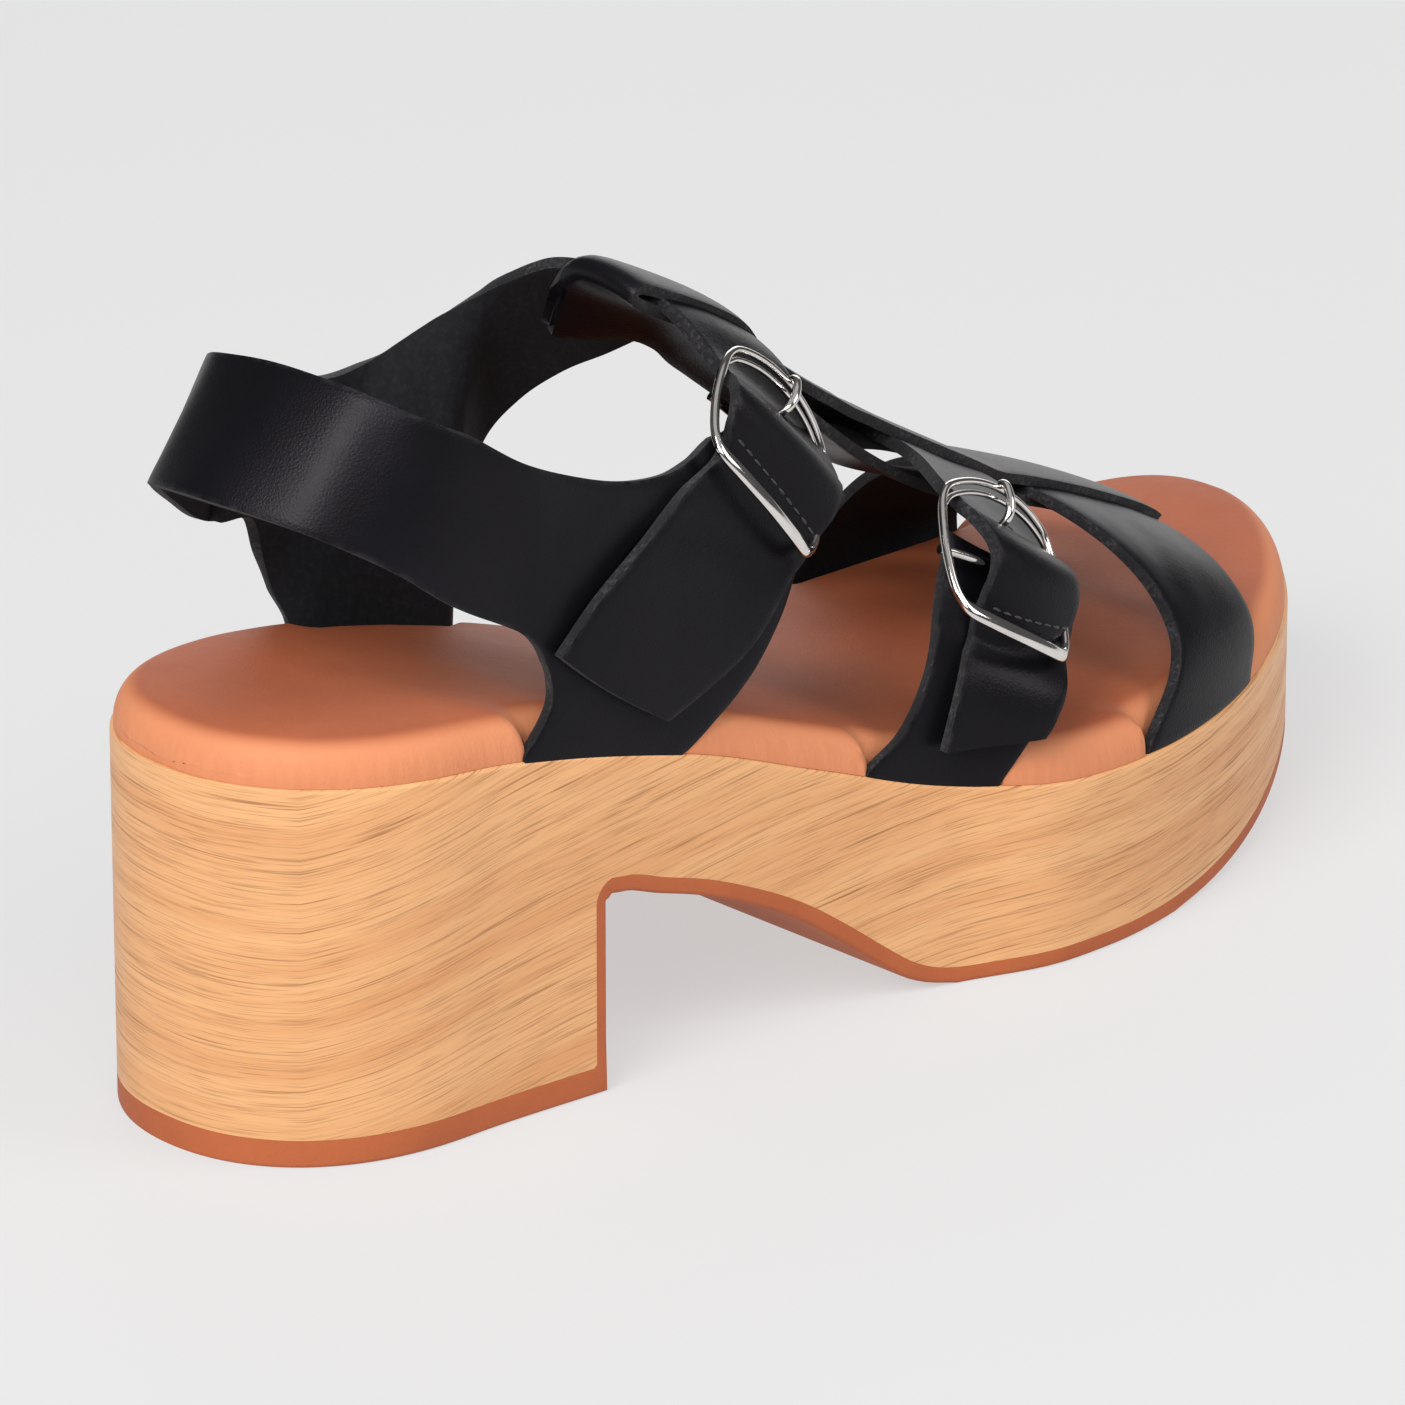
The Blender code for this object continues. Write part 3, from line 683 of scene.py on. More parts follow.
@dataclass(frozen=True)
class TanLeather:
    """Tan leather over the padded insole, with a painted highlight that makes it paler where it wraps the rim, and
    pleats low on the rim with painted shade in their troughs.
    """

    colour: Colour = (0.43, 0.124, 0.056)
    deep: Colour = (0.36, 0.095, 0.042)
    # Painted highlight: paler colour for the rim's shoulder, where it faces the key light.
    rim: Colour = (0.70, 0.27, 0.13)
    specular: float = 0.11
    clouds: float = 26.0
    fibres: float = 700.0
    grain: float = 1150.0
    pleats: Place = (760.0, 760.0, 60.0)
    grain_relief: Pair = (0.2, 0.0004)
    pleat_relief: Pair = (0.12, 0.0006)

    def make(self) -> Material:
        """Wire up the material.

        Returns:
            The material.
        """
        shade = Shade("tan_leather", self.colour, 0.5, Specular_IOR_Level=self.specular)
        place = shade.place()
        cloud = shade.noise(place, self.clouds, 5.0, 0.55)
        fibre = shade.noise(place, self.fibres, 3.0)
        pores = shade.cells(place, self.grain)
        rim = shade.attribute("rim")
        pleat = shade.noise(shade.stretch(place, self.pleats), 1.0, 2.0).span(0.35, 0.7)
        low = rim.span(0.65, 1.0)
        colour = shade.blend(cloud.span(0.3, 0.75), self.deep, self.colour)
        # Painted highlight: the rim takes the paler rim colour.
        colour = shade.blend(rim.span(0.05, 0.7) * 0.85, colour, self.rim)
        # Painted shade: the pleats' troughs low on the rim are darkened toward the deep colour.
        colour = shade.blend((1.0 - pleat) * low * 0.1, colour, self.deep)
        normal = shade.bump(pores.least(0.3) * 0.8 + fibre * 0.5, *self.grain_relief)
        normal = shade.bump(pleat * low, *self.pleat_relief, normal)
        return shade.finish(Base_Color=colour, Roughness=0.44 + fibre * 0.12 + cloud * 0.06, Normal=normal)


@dataclass(frozen=True)
class WoodEffect:
    """Light printed wood round the sole block, its fine broken grain rising toward the front of the heel."""

    pale: Colour = (0.74, 0.395, 0.18)
    warm: Colour = (0.64, 0.295, 0.122)
    line: Colour = (0.27, 0.115, 0.043)
    specular: float = 0.3
    rise: float = 0.026
    rise_start: float = 0.115
    rise_length: float = 0.10
    wide_drift: Pair = (12.0, 0.0045)
    small_drift: Pair = (45.0, 0.0005)
    bands: Place = (9.0, 9.0, 190.0)
    streaks: Place = (34.0, 34.0, 900.0)
    dashes: Place = (46.0, 46.0, 3300.0)
    pores: Place = (110.0, 110.0, 6200.0)
    relief: Pair = (0.10, 0.0003)

    def make(self) -> Material:
        """Wire up the material.

        Returns:
            The material.
        """
        shade = Shade("wood_effect", self.pale, 0.42, Specular_IOR_Level=self.specular)
        place = shade.place()
        x, y, z = shade.parts(place)
        wide, small = (shade.noise(place, scale, 1.0) * reach for scale, reach in (self.wide_drift, self.small_drift))
        climb = self.rise * (1.0 - math.e ** ((y + self.rise_start).most(0.0) * (-1.0 / self.rise_length)))
        level = z - climb + (wide + small)
        flow = shade.vector(x, y, level)
        broad = shade.noise(shade.stretch(flow, self.bands), 1.0, 3.0)
        streak = shade.noise(shade.stretch(flow, self.streaks), 1.0, 4.0, 0.6)
        dash = shade.noise(shade.stretch(flow, self.dashes), 1.0, 2.0, 0.6)
        pore = shade.noise(shade.stretch(flow, self.pores), 1.0, 1.0)
        bands = broad.span(0.38, 0.68)
        colour = shade.blend(bands * 0.75, self.pale, self.warm)
        colour = shade.blend(streak.span(0.5, 0.74) * 0.5, colour, self.warm)
        lines = dash.span(0.53, 0.68) * (0.3 + 0.7 * streak.span(0.42, 0.62))
        colour = shade.blend(lines * 0.74, colour, self.line)
        colour = shade.blend(pore.span(0.54, 0.70) * 0.42, colour, self.line)
        normal = shade.bump(lines * -1.0 + pore * -0.3, *self.relief)
        return shade.finish(Base_Color=colour, Roughness=0.38 + bands * 0.06 + lines * 0.2, Normal=normal)


@dataclass(frozen=True)
class BrownRubber:
    """Brown rubber of the outsole, matt and finely textured."""

    colour: Colour = (0.45, 0.118, 0.043)
    deep: Colour = (0.36, 0.09, 0.033)
    specular: float = 0.2
    clouds: float = 55.0
    specks: float = 1600.0
    relief: Pair = (0.18, 0.0004)

    def make(self) -> Material:
        """Wire up the material.

        Returns:
            The material.
        """
        shade = Shade("brown_rubber", self.colour, 0.6, Specular_IOR_Level=self.specular)
        place = shade.place()
        cloud = shade.noise(place, self.clouds, 4.0)
        speck = shade.noise(place, self.specks, 3.0, 0.6)
        colour = shade.blend(cloud.span(0.35, 0.7) * 0.5 + speck.span(0.5, 0.8) * 0.3, self.colour, self.deep)
        return shade.finish(Base_Color=colour, Roughness=0.5 + speck * 0.16, Normal=shade.bump(speck, *self.relief))


@dataclass(frozen=True)
class PolishedNickel:
    """Polished nickel of the buckles, with faint hairline scratches."""

    colour: Colour = (0.79, 0.755, 0.73)
    dull: Colour = (0.62, 0.585, 0.565)
    scratches: Place = (260.0, 2600.0, 2600.0)
    clouds: float = 160.0

    def make(self) -> Material:
        """Wire up the material.

        Returns:
            The material.
        """
        shade = Shade("polished_nickel", self.colour, 0.1, Metallic=1.0)
        place = shade.place()
        scratch = shade.noise(shade.stretch(place, self.scratches), 1.0, 3.0)
        cloud = shade.noise(place, self.clouds, 3.0)
        colour = shade.blend(cloud.span(0.45, 0.75) * 0.6, self.colour, self.dull)
        return shade.finish(Base_Color=colour, Roughness=0.07 + scratch.span(0.5, 0.8) * 0.12 + cloud * 0.06)


@dataclass(frozen=True)
class BlackThread:
    """Waxed black sewing thread with its twist."""

    colour: Colour = (0.014, 0.014, 0.016)
    pale: Colour = (0.085, 0.082, 0.087)
    twists: float = 9000.0
    relief: Pair = (0.4, 0.0002)

    def make(self) -> Material:
        """Wire up the material.

        Returns:
            The material.
        """
        shade = Shade("black_thread", self.colour, 0.55)
        x, y, z = shade.parts(shade.place())
        twist = ((x + y + z) * self.twists).sine() * 0.5 + 0.5
        colour = shade.blend(twist * 0.6, self.colour, self.pale)
        return shade.finish(Base_Color=colour, Roughness=0.45 + twist * 0.2, Normal=shade.bump(twist, *self.relief))


@dataclass(frozen=True)
class PaleFloor:
    """Plain pale studio floor, lit from below like a light table so that shadows stay soft."""

    colour: Colour = (0.19, 0.19, 0.19)
    pale: Colour = (0.20, 0.20, 0.20)
    glow: float = 0.55
    clouds: float = 3.0

    def make(self) -> Material:
        """Wire up the material.

        Returns:
            The material.
        """
        white = (1.0, 1.0, 1.0, 1.0)
        shade = Shade("pale_floor", self.colour, 0.9, Emission_Color=white, Emission_Strength=self.glow)
        cloud = shade.noise(shade.place(), self.clouds, 2.0)
        return shade.finish(Base_Color=shade.blend(cloud, self.colour, self.pale))


class LeatherSlot(Enum):
    """Material slots of a strap."""

    GRAIN = 0
    FLESH = 1
    CUT = 2


@dataclass
class Finishes:
    """All finishes of the shoe, each made once."""

    grain: Material = field(default_factory=BlackLeather().make)
    flesh: Material = field(default_factory=FleshSide().make)
    cut: Material = field(default_factory=CutEdge().make)
    tan: Material = field(default_factory=TanLeather().make)
    wood: Material = field(default_factory=WoodEffect().make)
    rubber: Material = field(default_factory=BrownRubber().make)
    nickel: Material = field(default_factory=PolishedNickel().make)
    thread: Material = field(default_factory=BlackThread().make)

    @property
    def leather(self) -> list[Material]:
        """Grain, flesh side and cut edge, in the order of a strap's slots."""
        return [self.grain, self.flesh, self.cut]


def add_object(mesh: Mesh, *materials: Material) -> Piece:
    """Put a mesh in the scene as an object of the same name.

    Args:
        mesh: The mesh.
        *materials: Materials of its slots.

    Returns:
        The object.
    """
    obj = bpy.data.objects.new(mesh.name, mesh)
    bpy.context.scene.collection.objects.link(obj)
    for material in materials:
        mesh.materials.append(material)
    return obj


def smooth_mesh(name: str, bm: bmesh.types.BMesh) -> Mesh:
    """Turn a working mesh into a mesh of the scene, shaded smooth.

    Args:
        name: Name of the mesh.
        bm: The working mesh, freed afterwards.

    Returns:
        The mesh.
    """
    mesh = bpy.data.meshes.new(name)
    bm.to_mesh(mesh)
    bm.free()
    mesh.shade_smooth()
    return mesh


def surface(
    name: str, lines: Sequence[Sequence[Vector]], closed: bool = False, ring: bool = False, caps: bool = False,
) -> Mesh:
    """Mesh of quads through lines of points of equal length.

    Args:
        name: Name of the mesh.
        lines: Lines of points, in layout millimetres.
        closed: Whether the last line joins the first.
        ring: Whether each line is a closed ring.
        caps: Whether the first and last rings are filled.

    Returns:
        The mesh, shaded smooth but for its sharp corners.
    """
    bm = bmesh.new()
    verts = [[bm.verts.new(to_world(p)) for p in line] for line in lines]
    pairs = list(zip(verts, verts[1:]))
    if closed:
        pairs.append((verts[-1], verts[0]))
    for a, b in pairs:
        count = len(a)
        for k in range(count if ring else count - 1):
            n = (k + 1) % count
            bm.faces.new((a[k], b[k], b[n], a[n]))
    if caps:
        bm.faces.new(list(reversed(verts[0])))
        bm.faces.new(verts[-1])
        bmesh.ops.recalc_face_normals(bm, faces=bm.faces)
    mesh = smooth_mesh(name, bm)
    mesh.set_sharp_from_angle(angle=SMOOTH_ANGLE)
    return mesh


def settle_modifiers(obj: Piece) -> None:
    """Keep the modified mesh as the object's own mesh.

    Args:
        obj: The object.
    """
    bpy.context.view_layer.update()
    shape = obj.evaluated_get(bpy.context.evaluated_depsgraph_get())
    mesh = bpy.data.meshes.new_from_object(shape)
    obj.modifiers.clear()
    obj.data = mesh


def keep_values(mesh: Mesh, name: str, values: Sequence[float]) -> None:
    """Keep a value for each vertex on a mesh, for its material."""
    mesh.attributes.new(name, "FLOAT", "POINT").data.foreach_set("value", values)


def place_piece(obj: Piece, slot: str, *nodes: str) -> None:
    """Fasten a piece to the frame.

    Args:
        obj: The piece.
        slot: Name of its finish; not used.
        *nodes: Nodes that it stands for.
    """
    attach(obj, BODY)
    if nodes:
        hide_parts(*nodes)
    log.info("%s: %d faces", obj.name, len(obj.data.polygons))


@dataclass
class Sole:
    """Wood-effect block with its heel, and the rubber outsole under it."""

    last: Last
    finishes: Finishes
    breast_y: float = 58.4
    breast_ease: float = 0.5
    breast_top: Pair = (51.0, 66.0)
    heel_sheet: float = 4.5
    fore_sheet: float = 2.7
    breast_sheet: float = 2.2
    arch_top: float = 34.6
    arch_fillet: float = 4.0
    spring_start: float = 165.0
    toe_spring: float = 14.0
    end_start: float = 0.02
    heel_count: int = 40
    heel_run: int = 22
    heel_step: int = 2
    breast_steps: int = 6
    fillet_turns: tuple[float, ...] = (15.0, 30.0, 45.0, 60.0, 75.0)
    flat_reach: float = 0.25
    toe_count: int = 56
    toe_length: float = 57.0
    arch_step: float = 1.5
    side_steps: int = 6
    top_round: float = 0.7
    low_round: float = 0.8
    joint_gap: float = 0.02
    arch: Table = (
        (63.5, 34.2), (72.0, 31.8), (81.0, 29.0), (92.0, 24.2), (100.0, 19.8), (108.0, 14.2), (115.0, 8.9),
        (120.0, 5.4), (125.0, 3.4), (131.0, 2.7),
    )

    def ends(self, length: float, count: int) -> list[float]:
        """Distances from a rounded end, close together at the end itself."""
        start = self.end_start
        return [start + (length - start) * (1.0 - math.cos(0.5 * math.pi * k / count)) for k in range(count)]

    def underside(self) -> list[Pair]:
        """Side view of the face between block and outsole.

        Returns:
            Places and heights, from the heel's back to the toe.
        """
        straight = self.last.heel_round
        line = [(y, self.heel_sheet) for y in self.ends(straight, self.heel_count)]
        line += [(straight + k, self.heel_sheet) for k in range(0, self.heel_run, self.heel_step)]
        line += [(self.breast_y - self.breast_ease, self.heel_sheet)]
        line += [(self.breast_y, self.heel_sheet + self.breast_ease)]
        rise = self.arch_top - self.arch_fillet
        for k in range(self.breast_steps):
            line.append((self.breast_y, mix(self.heel_sheet, rise, (k + 1) / self.breast_steps)))
        for inward, up in map(corner_at, self.fillet_turns):
            line.append((self.breast_y + self.arch_fillet * inward, rise + self.arch_fillet * up))
        arch_start, arch_end = self.arch[0][0], self.arch[-1][0]
        line += [(y, smooth_value(self.arch, y)) for y in spaced(arch_start, arch_end, self.arch_step)]
        fore = spaced(arch_end, self.last.length - self.toe_length, 2.0 * self.arch_step)
        fore += [self.last.length - d for d in reversed(self.ends(self.toe_length, self.toe_count))]
        return line + [(y, self.fore_sheet + self.spring(y)) for y in fore]

    def spring(self, y: float) -> float:
        """Rise of the toe off the floor."""
        share = max(y - self.spring_start, 0.0) / (self.last.length - self.spring_start)
        return self.toe_spring * share * share

    def wall(self, side: Side, low: Pair, high: Pair) -> Line:
        """Side of a section.

        Args:
            side: Which side.
            low: Place and height of its low point.
            high: Place and height of its high point.

        Returns:
            The points, from low to high.
        """
        points = []
        for k in range(self.side_steps + 1):
            y, z = (mix(a, b, k / self.side_steps) for a, b in zip(low, high))
            points.append(Vector((self.last.edge(y, side), y, z)))
        return points

    def build_block(self) -> None:
        """Build the wood-effect block."""
        line = self.underside()
        start, end = self.breast_top
        breast = [k for k, p in enumerate(line) if start < p[0] < end]
        rings = []
        for k, (y, z) in enumerate(line):
            top_y = y
            if breast[0] <= k <= breast[-1]:
                top_y = mix(start, end, (k - breast[0] + 1) / (len(breast) + 1))
            low, high = (y, z + self.joint_gap), (top_y, self.last.top(top_y) - self.top_round)
            medial, lateral = self.wall(Side.MEDIAL, low, high), self.wall(Side.LATERAL, low, high)
            size = min(self.top_round, 0.25 * (lateral[-1].x - medial[-1].x))
            ring = medial[:1] + lateral
            for edge, inset, turns in (
                (lateral[-1], -size, CORNER_TURNS), (medial[-1], size, CORNER_TURNS[::-1]),
            ):
                for inward, up in map(corner_at, turns):
                    ring.append(edge + Vector((inset * inward, 0.0, self.top_round * up)))
            rings.append(ring + medial[:0:-1])
        mesh = surface("sole_block_wood", rings, ring=True, caps=True)
        place_piece(add_object(mesh, self.finishes.wood), "wood_effect", "sole_block")

    def sheet(self, y: float, z: float) -> float:
        """Thickness of the outsole.

        Args:
            y: Place of its upper face.
            z: Height of that face.

        Returns:
            The thickness there.
        """
        if y < self.breast_y - 2.0 * self.breast_ease:
            return self.heel_sheet
        if y < self.breast_y + 2.0 * self.breast_ease and z < self.arch_top - 0.5 * self.arch_fillet:
            return self.breast_sheet
        return self.fore_sheet

    def build_outsole(self) -> None:
        """Build the rubber sheet under the heel, up the breast, along the arch and under the forefoot."""
        line = self.underside()
        rings = []
        for k, (y, z) in enumerate(line):
            before, after = line[max(k - 1, 0)], line[min(k + 1, len(line) - 1)]
            along = Vector((0.0, after[0] - before[0], after[1] - before[1])).normalized()
            out = Vector((0.0, along.z, -along.y)) * self.sheet(y, z)
            if y < self.breast_y or z <= self.fore_sheet + self.flat_reach:
                out = Vector((0.0, 0.0, -z))
            if y == self.breast_y and z <= self.heel_sheet + self.breast_ease:
                out = Vector((0.0, self.breast_sheet, -z))
            low_y = min(max(y + out.y, 0.0), self.last.length)
            rings.append(self.sheet_ring((y, z), (low_y, max(z + out.z, 0.0))))
        mesh = surface("outsole_rubber", rings, ring=True, caps=True)
        place_piece(add_object(mesh, self.finishes.rubber), "brown_rubber", "outsole")

    def sheet_ring(self, top: Pair, low: Pair) -> Line:
        """Section of the outsole, rounded at its lower edges.

        Args:
            top: Place and height of its upper face.
            low: Place and height of its lower face.

        Returns:
            The points round the section.
        """
        deep = Vector((0.0, low[0] - top[0], low[1] - top[1]))
        lateral, medial = (self.last.edge(low[0], side) for side in Side)
        size = min(self.low_round, 0.25 * (lateral - medial))
        share = self.low_round / max(deep.length, self.low_round)
        ring: Line = []
        for side in Side:
            corner = [Vector((self.last.edge(top[0], side), *top))]
            for inward, down in map(corner_at, (0.0, *CORNER_TURNS)):
                t = 1.0 - share * (1.0 - down)
                y, z = mix(top[0], low[0], t), mix(top[1], low[1], t)
                corner.append(Vector((self.last.edge(y, side) - side.value * size * inward, y, z)))
            ring += corner if side is Side.LATERAL else corner[::-1]
        return ring


@dataclass(frozen=True)
class Notch:
    """Place where the insole stands back from the sole's edge to let a strap go down."""

    side: Side
    start: float
    end: float


@dataclass
class Insole:
    """Padded insole: a crowned pad wrapped in tan leather, with a rounded rim."""

    last: Last
    finishes: Finishes
    inset: float = 0.55
    notch_depth: float = 3.6
    notch_ease: float = 2.6
    notch_lead: float = 0.3
    rim: float = 6.3
    rim_round: float = 4.6
    crown: float = 1.5
    crown_reach: float = 34.0
    crown_start: float = 9.0
    dish: float = 0.9
    dishes: tuple[Quad, ...] = ((36.0, 24.0, 0.0, 15.0), (168.0, 26.0, 2.0, 22.0))
    seam: float = 0.1
    welt: float = 0.35
    tip: float = 0.04
    ribs: int = 300
    across: int = 56
    ripple: float = 0.10
    ripple_length: float = 7.0
    ripple_seed: float = 3.0
    notches: tuple[Notch, ...] = (
        Notch(Side.LATERAL, 46.0, 74.6), Notch(Side.LATERAL, 111.6, 134.6), Notch(Side.LATERAL, 165.2, 198.4),
        Notch(Side.MEDIAL, 49.8, 76.0), Notch(Side.MEDIAL, 126.6, 148.6), Notch(Side.MEDIAL, 164.6, 206.4),
    )

    def stand_back(self, y: float, side: Side) -> float:
        """How far the insole's edge stands in from the sole's edge.

        Args:
            y: Place along the sole.
            side: Which edge.

        Returns:
            The distance.
        """
        inside = [min(y - notch.start, notch.end - y) for notch in self.notches if notch.side is side]
        return mix(self.inset, self.notch_depth, ease(max(inside) / self.notch_ease + self.notch_lead))

    def hollow(self, point: Vector, y: float, length: float, x: float, width: float) -> float:
        """Depth of a shallow dish of the pad, given by its middle and its reach, at a place in plan."""
        return self.dish * math.exp(-(((point.y - y) / length) ** 2) - ((point.x - x) / width) ** 2)

    def edge_line(self, side: Side, count: int) -> Line:
        """Plan of one edge of the insole, from the heel's tip to the toe's tip.

        Args:
            side: Which edge.
            count: Steps along it, close together at both tips.

        Returns:
            The points.
        """
        line: Line = []
        for k in range(count + 1):
            y = mix(self.tip, self.last.length - self.tip, 0.5 - 0.5 * math.cos(math.pi * k / count))
            step = 0.5 * self.tip
            before, after = (Vector((self.last.edge(y + d, side), y + d, 0.0)) for d in (-step, step))
            along = (after - before).normalized()
            inward = Vector((-along.y, along.x, 0.0)) * side.value
            line.append(0.5 * (before + after) + inward * self.stand_back(y, side))
        return line

    def height(self, inward: float, point: Vector) -> float:
        """Height of the pad over the block.

        Args:
            inward: Distance in from the nearest edge.
            point: Place in plan.

        Returns:
            The height.
        """
        t = clamp(inward / self.rim_round)
        rise = self.rim * math.sqrt(max(1.0 - (1.0 - t) ** 2, 0.0))
        crown = self.crown * (1.0 - (1.0 - clamp(inward / self.crown_reach)) ** 2) * ease(inward / self.crown_start)
        hollows = sum(self.hollow(point, *dish) for dish in self.dishes)
        place = Vector((point.x, point.y, self.ripple_seed)) / self.ripple_length
        return rise + crown - hollows + self.ripple * noise.noise(place) * t

    def build(self) -> None:
        medial, lateral = self.edge_line(Side.MEDIAL, self.ribs), self.edge_line(Side.LATERAL, self.ribs)
        rim_points = self.edge_line(Side.MEDIAL, 4 * self.ribs) + self.edge_line(Side.LATERAL, 4 * self.ribs)
        for k in (0, -1):
            rim_points += [mix(medial[k], lateral[k], n / self.across) for n in range(self.across)]
        tree = kdtree.KDTree(len(rim_points))
        for k, point in enumerate(rim_points):
            tree.insert(point, k)
        tree.balance()
        rings: list[Line] = []
        rims: list[float] = []
        for start, end in zip(medial, lateral):
            ring: Line = []
            for k in range(self.across + 1):
                place = mix(start, end, 0.5 - 0.5 * math.cos(math.pi * k / self.across))
                inward = tree.find(place)[2] if 0 < k < self.across else 0.0
                base = self.last.top(place.y) + self.seam
                ring.append(Vector((place.x, place.y, base + self.welt + self.height(inward, place))))
                rims.append(1.0 - clamp(inward / self.rim_round))
            for place in (end, start):
                ring.append(Vector((place.x, place.y, self.last.top(place.y) + 0.5 * self.seam)))
                rims.append(1.0)
            rings.append(ring)
        mesh = surface("insole_pad", rings, ring=True, caps=True)
        keep_values(mesh, "rim", rims)
        obj = add_object(mesh, self.finishes.tan)
        place_piece(obj, "tan_leather", "insole")


@dataclass(frozen=True)
class Crease:
    """Soft trough across a strap with a low ridge on each side, from one place of the strap to another."""

    start: Pair
    end: Pair
    depth: float
    width: float
    reach: float = 4.0
    fade: float = 0.15
    ridge: float = 0.45
    ridge_place: float = 1.7

    def offset(self, point: Vector, start: Vector, end: Vector) -> float:
        """Movement of a point of the strap along its outward normal.

        Args:
            point: Point of the strap.
            start: One end of the crease.
            end: Its other end.

        Returns:
            The movement.
        """
        along = end - start
        t = (point - start).dot(along) / along.length_squared
        away = (point - (start + along * clamp(t))).length / self.width
        if away > self.reach:
            return 0.0
        fade = ease((t + self.fade) / (2.0 * self.fade)) * ease((1.0 + self.fade - t) / (2.0 * self.fade))
        ridge = self.ridge * math.exp(-((away - self.ridge_place) ** 2))
        return self.depth * fade * (ridge - math.exp(-(away**2)))


@dataclass(frozen=True)
class Hole:
    """Punched hole, at a row and a share of the way across."""

    row: float
    share: float = 0.5
    radius: float = 0.75
    segments: int = 20


@dataclass
class Strap:
    """One strap of leather with a grain side, a flesh side and cut edges."""

    name: str
    rows: tuple[Row, ...]
    flipped: bool = False
    closed: bool = False
    leather: float = 2.0
    across: int = 14
    steps: int = 8
    curl: float = 0.22
    edge_round: float = 0.45
    edge_angle: float = 50.0
    edge_segments: int = 2
    punch_depth: float = 6.0
    creases: tuple[Crease, ...] = ()
    holes: tuple[Hole, ...] = ()
    foot_sink: float = 0.9
    foot_reach: float = 4.0
    foot_flare: float = 0.0
    flare_reach: float = 9.0

    def columns(self, last: Last) -> list[Line]:
        """Lines along the strap.

        Args:
            last: Form that the straps follow.

        Returns:
            The lines, one for each step across the strap.
        """
        made = []
        for j in range(self.across + 1):
            points = [row.point(last, j / self.across) for row in self.rows]
            column = smooth_path(points, self.steps, self.closed)
            for point in column:
                seat = last.seat(point.y)
                point.z = max(point.z, seat)
                height = point.z - seat
                point.z -= self.foot_sink * (1.0 - clamp(height / self.foot_reach)) ** 2
                point.y -= self.foot_flare * (1.0 - clamp(height / self.flare_reach)) ** 2
            made.append(column)
        return made

    def lines(self, last: Last) -> list[Line]:
        """Lines across the strap, curled at the edges and creased.

        Args:
            last: Form that the straps follow.

        Returns:
            The lines, in order along the strap.
        """
        grid = [list(line) for line in zip(*self.columns(last))]
        ends = [
            [grid[self.row_at(row)][self.column_at(share)] for row, share in (crease.start, crease.end)]
            for crease in self.creases
        ]
        moved = []
        for line, outward in zip(grid, self.normals(grid)):
            new_line = []
            for j, point in enumerate(line):
                offset = -self.curl * (2.0 * j / self.across - 1.0) ** 4
                offset += sum(crease.offset(point, *pair) for crease, pair in zip(self.creases, ends))
                new_line.append(point + outward[j] * offset)
            moved.append(new_line)
        return moved

    def row_at(self, place: float) -> int:
        """Line nearest to a place counted in rows."""
        return min(int(round(place * self.steps)), (len(self.rows) - 1) * self.steps)

    def column_at(self, share: float) -> int:
        """Column nearest to a share of the way across."""
        return int(round(share * self.across))

    def normals(self, grid: list[Line]) -> list[Line]:
        """Outward normals of the sheet.

        Args:
            grid: Lines across the strap.

        Returns:
            The normals, in the same order.
        """
        sign = -1.0 if self.flipped else 1.0
        made = []
        count = len(grid)
        for i, line in enumerate(grid):
            before = grid[i - 1] if i or self.closed else line
            after = grid[(i + 1) % count] if i + 1 < count or self.closed else line
            row = []
            for j in range(len(line)):
                along = after[j] - before[j]
                over = line[min(j + 1, self.across)] - line[max(j - 1, 0)]
                row.append(along.cross(over).normalized() * sign)
            made.append(row)
        return made

    def build(self, last: Last, finishes: Finishes) -> None:
        """Build the strap as a piece.

        Args:
            last: Form that the straps follow.
            finishes: Finishes of the shoe.
        """
        lines = self.lines(last)
        edges = []
        for line in lines:
            low, high = line[0], line[-1]
            edges += [min((p - low).length, (p - high).length) for p in (reversed(line) if self.flipped else line)]
        sheet = [list(reversed(line)) for line in lines] if self.flipped else lines
        mesh = surface(self.name, sheet, closed=self.closed)
        keep_values(mesh, "edge", edges)
        obj = add_object(mesh, *finishes.leather)
        solid = obj.modifiers.new("leather", "SOLIDIFY")
        solid.thickness = self.leather * MM
        solid.offset = 1.0
        solid.material_offset = LeatherSlot.FLESH.value
        solid.material_offset_rim = LeatherSlot.CUT.value
        cutter = self.punch(obj, lines) if self.holes else None
        rounding = obj.modifiers.new("edge", "BEVEL")
        rounding.width = self.edge_round * MM
        rounding.segments = self.edge_segments
        rounding.limit_method = "ANGLE"
        rounding.angle_limit = math.radians(self.edge_angle)
        settle_modifiers(obj)
        if cutter is not None:
            bpy.data.objects.remove(cutter)
        obj.data.shade_smooth()
        obj.data.set_sharp_from_angle(angle=SMOOTH_ANGLE)
        place_piece(obj, "black_leather", "upper")

    def punch(self, obj: Piece, lines: list[Line]) -> Piece:
        """Cut the strap's holes.

        Args:
            obj: The strap.
            lines: Lines across it.

        Returns:
            The cutter, to be removed when the strap is settled.
        """
        bm = bmesh.new()
        normals = self.normals(lines)
        for hole in self.holes:
            i, j = self.row_at(hole.row), self.column_at(hole.share)
            turn = normals[i][j].to_track_quat("Z", "Y").to_matrix().to_4x4()
            turn.translation = to_world(lines[i][j] + normals[i][j] * 0.5 * self.leather)
            radius = hole.radius * MM
            bmesh.ops.create_cone(
                bm, cap_ends=True, segments=hole.segments, radius1=radius, radius2=radius,
                depth=self.punch_depth * MM, matrix=turn,
            )
        for face in bm.faces:
            face.material_index = LeatherSlot.CUT.value
        cutter = add_object(smooth_mesh("punch", bm))
        cutter.hide_render = True
        cut = obj.modifiers.new("holes", "BOOLEAN")
        cut.operation = "DIFFERENCE"
        cut.object = cutter
        return cutter


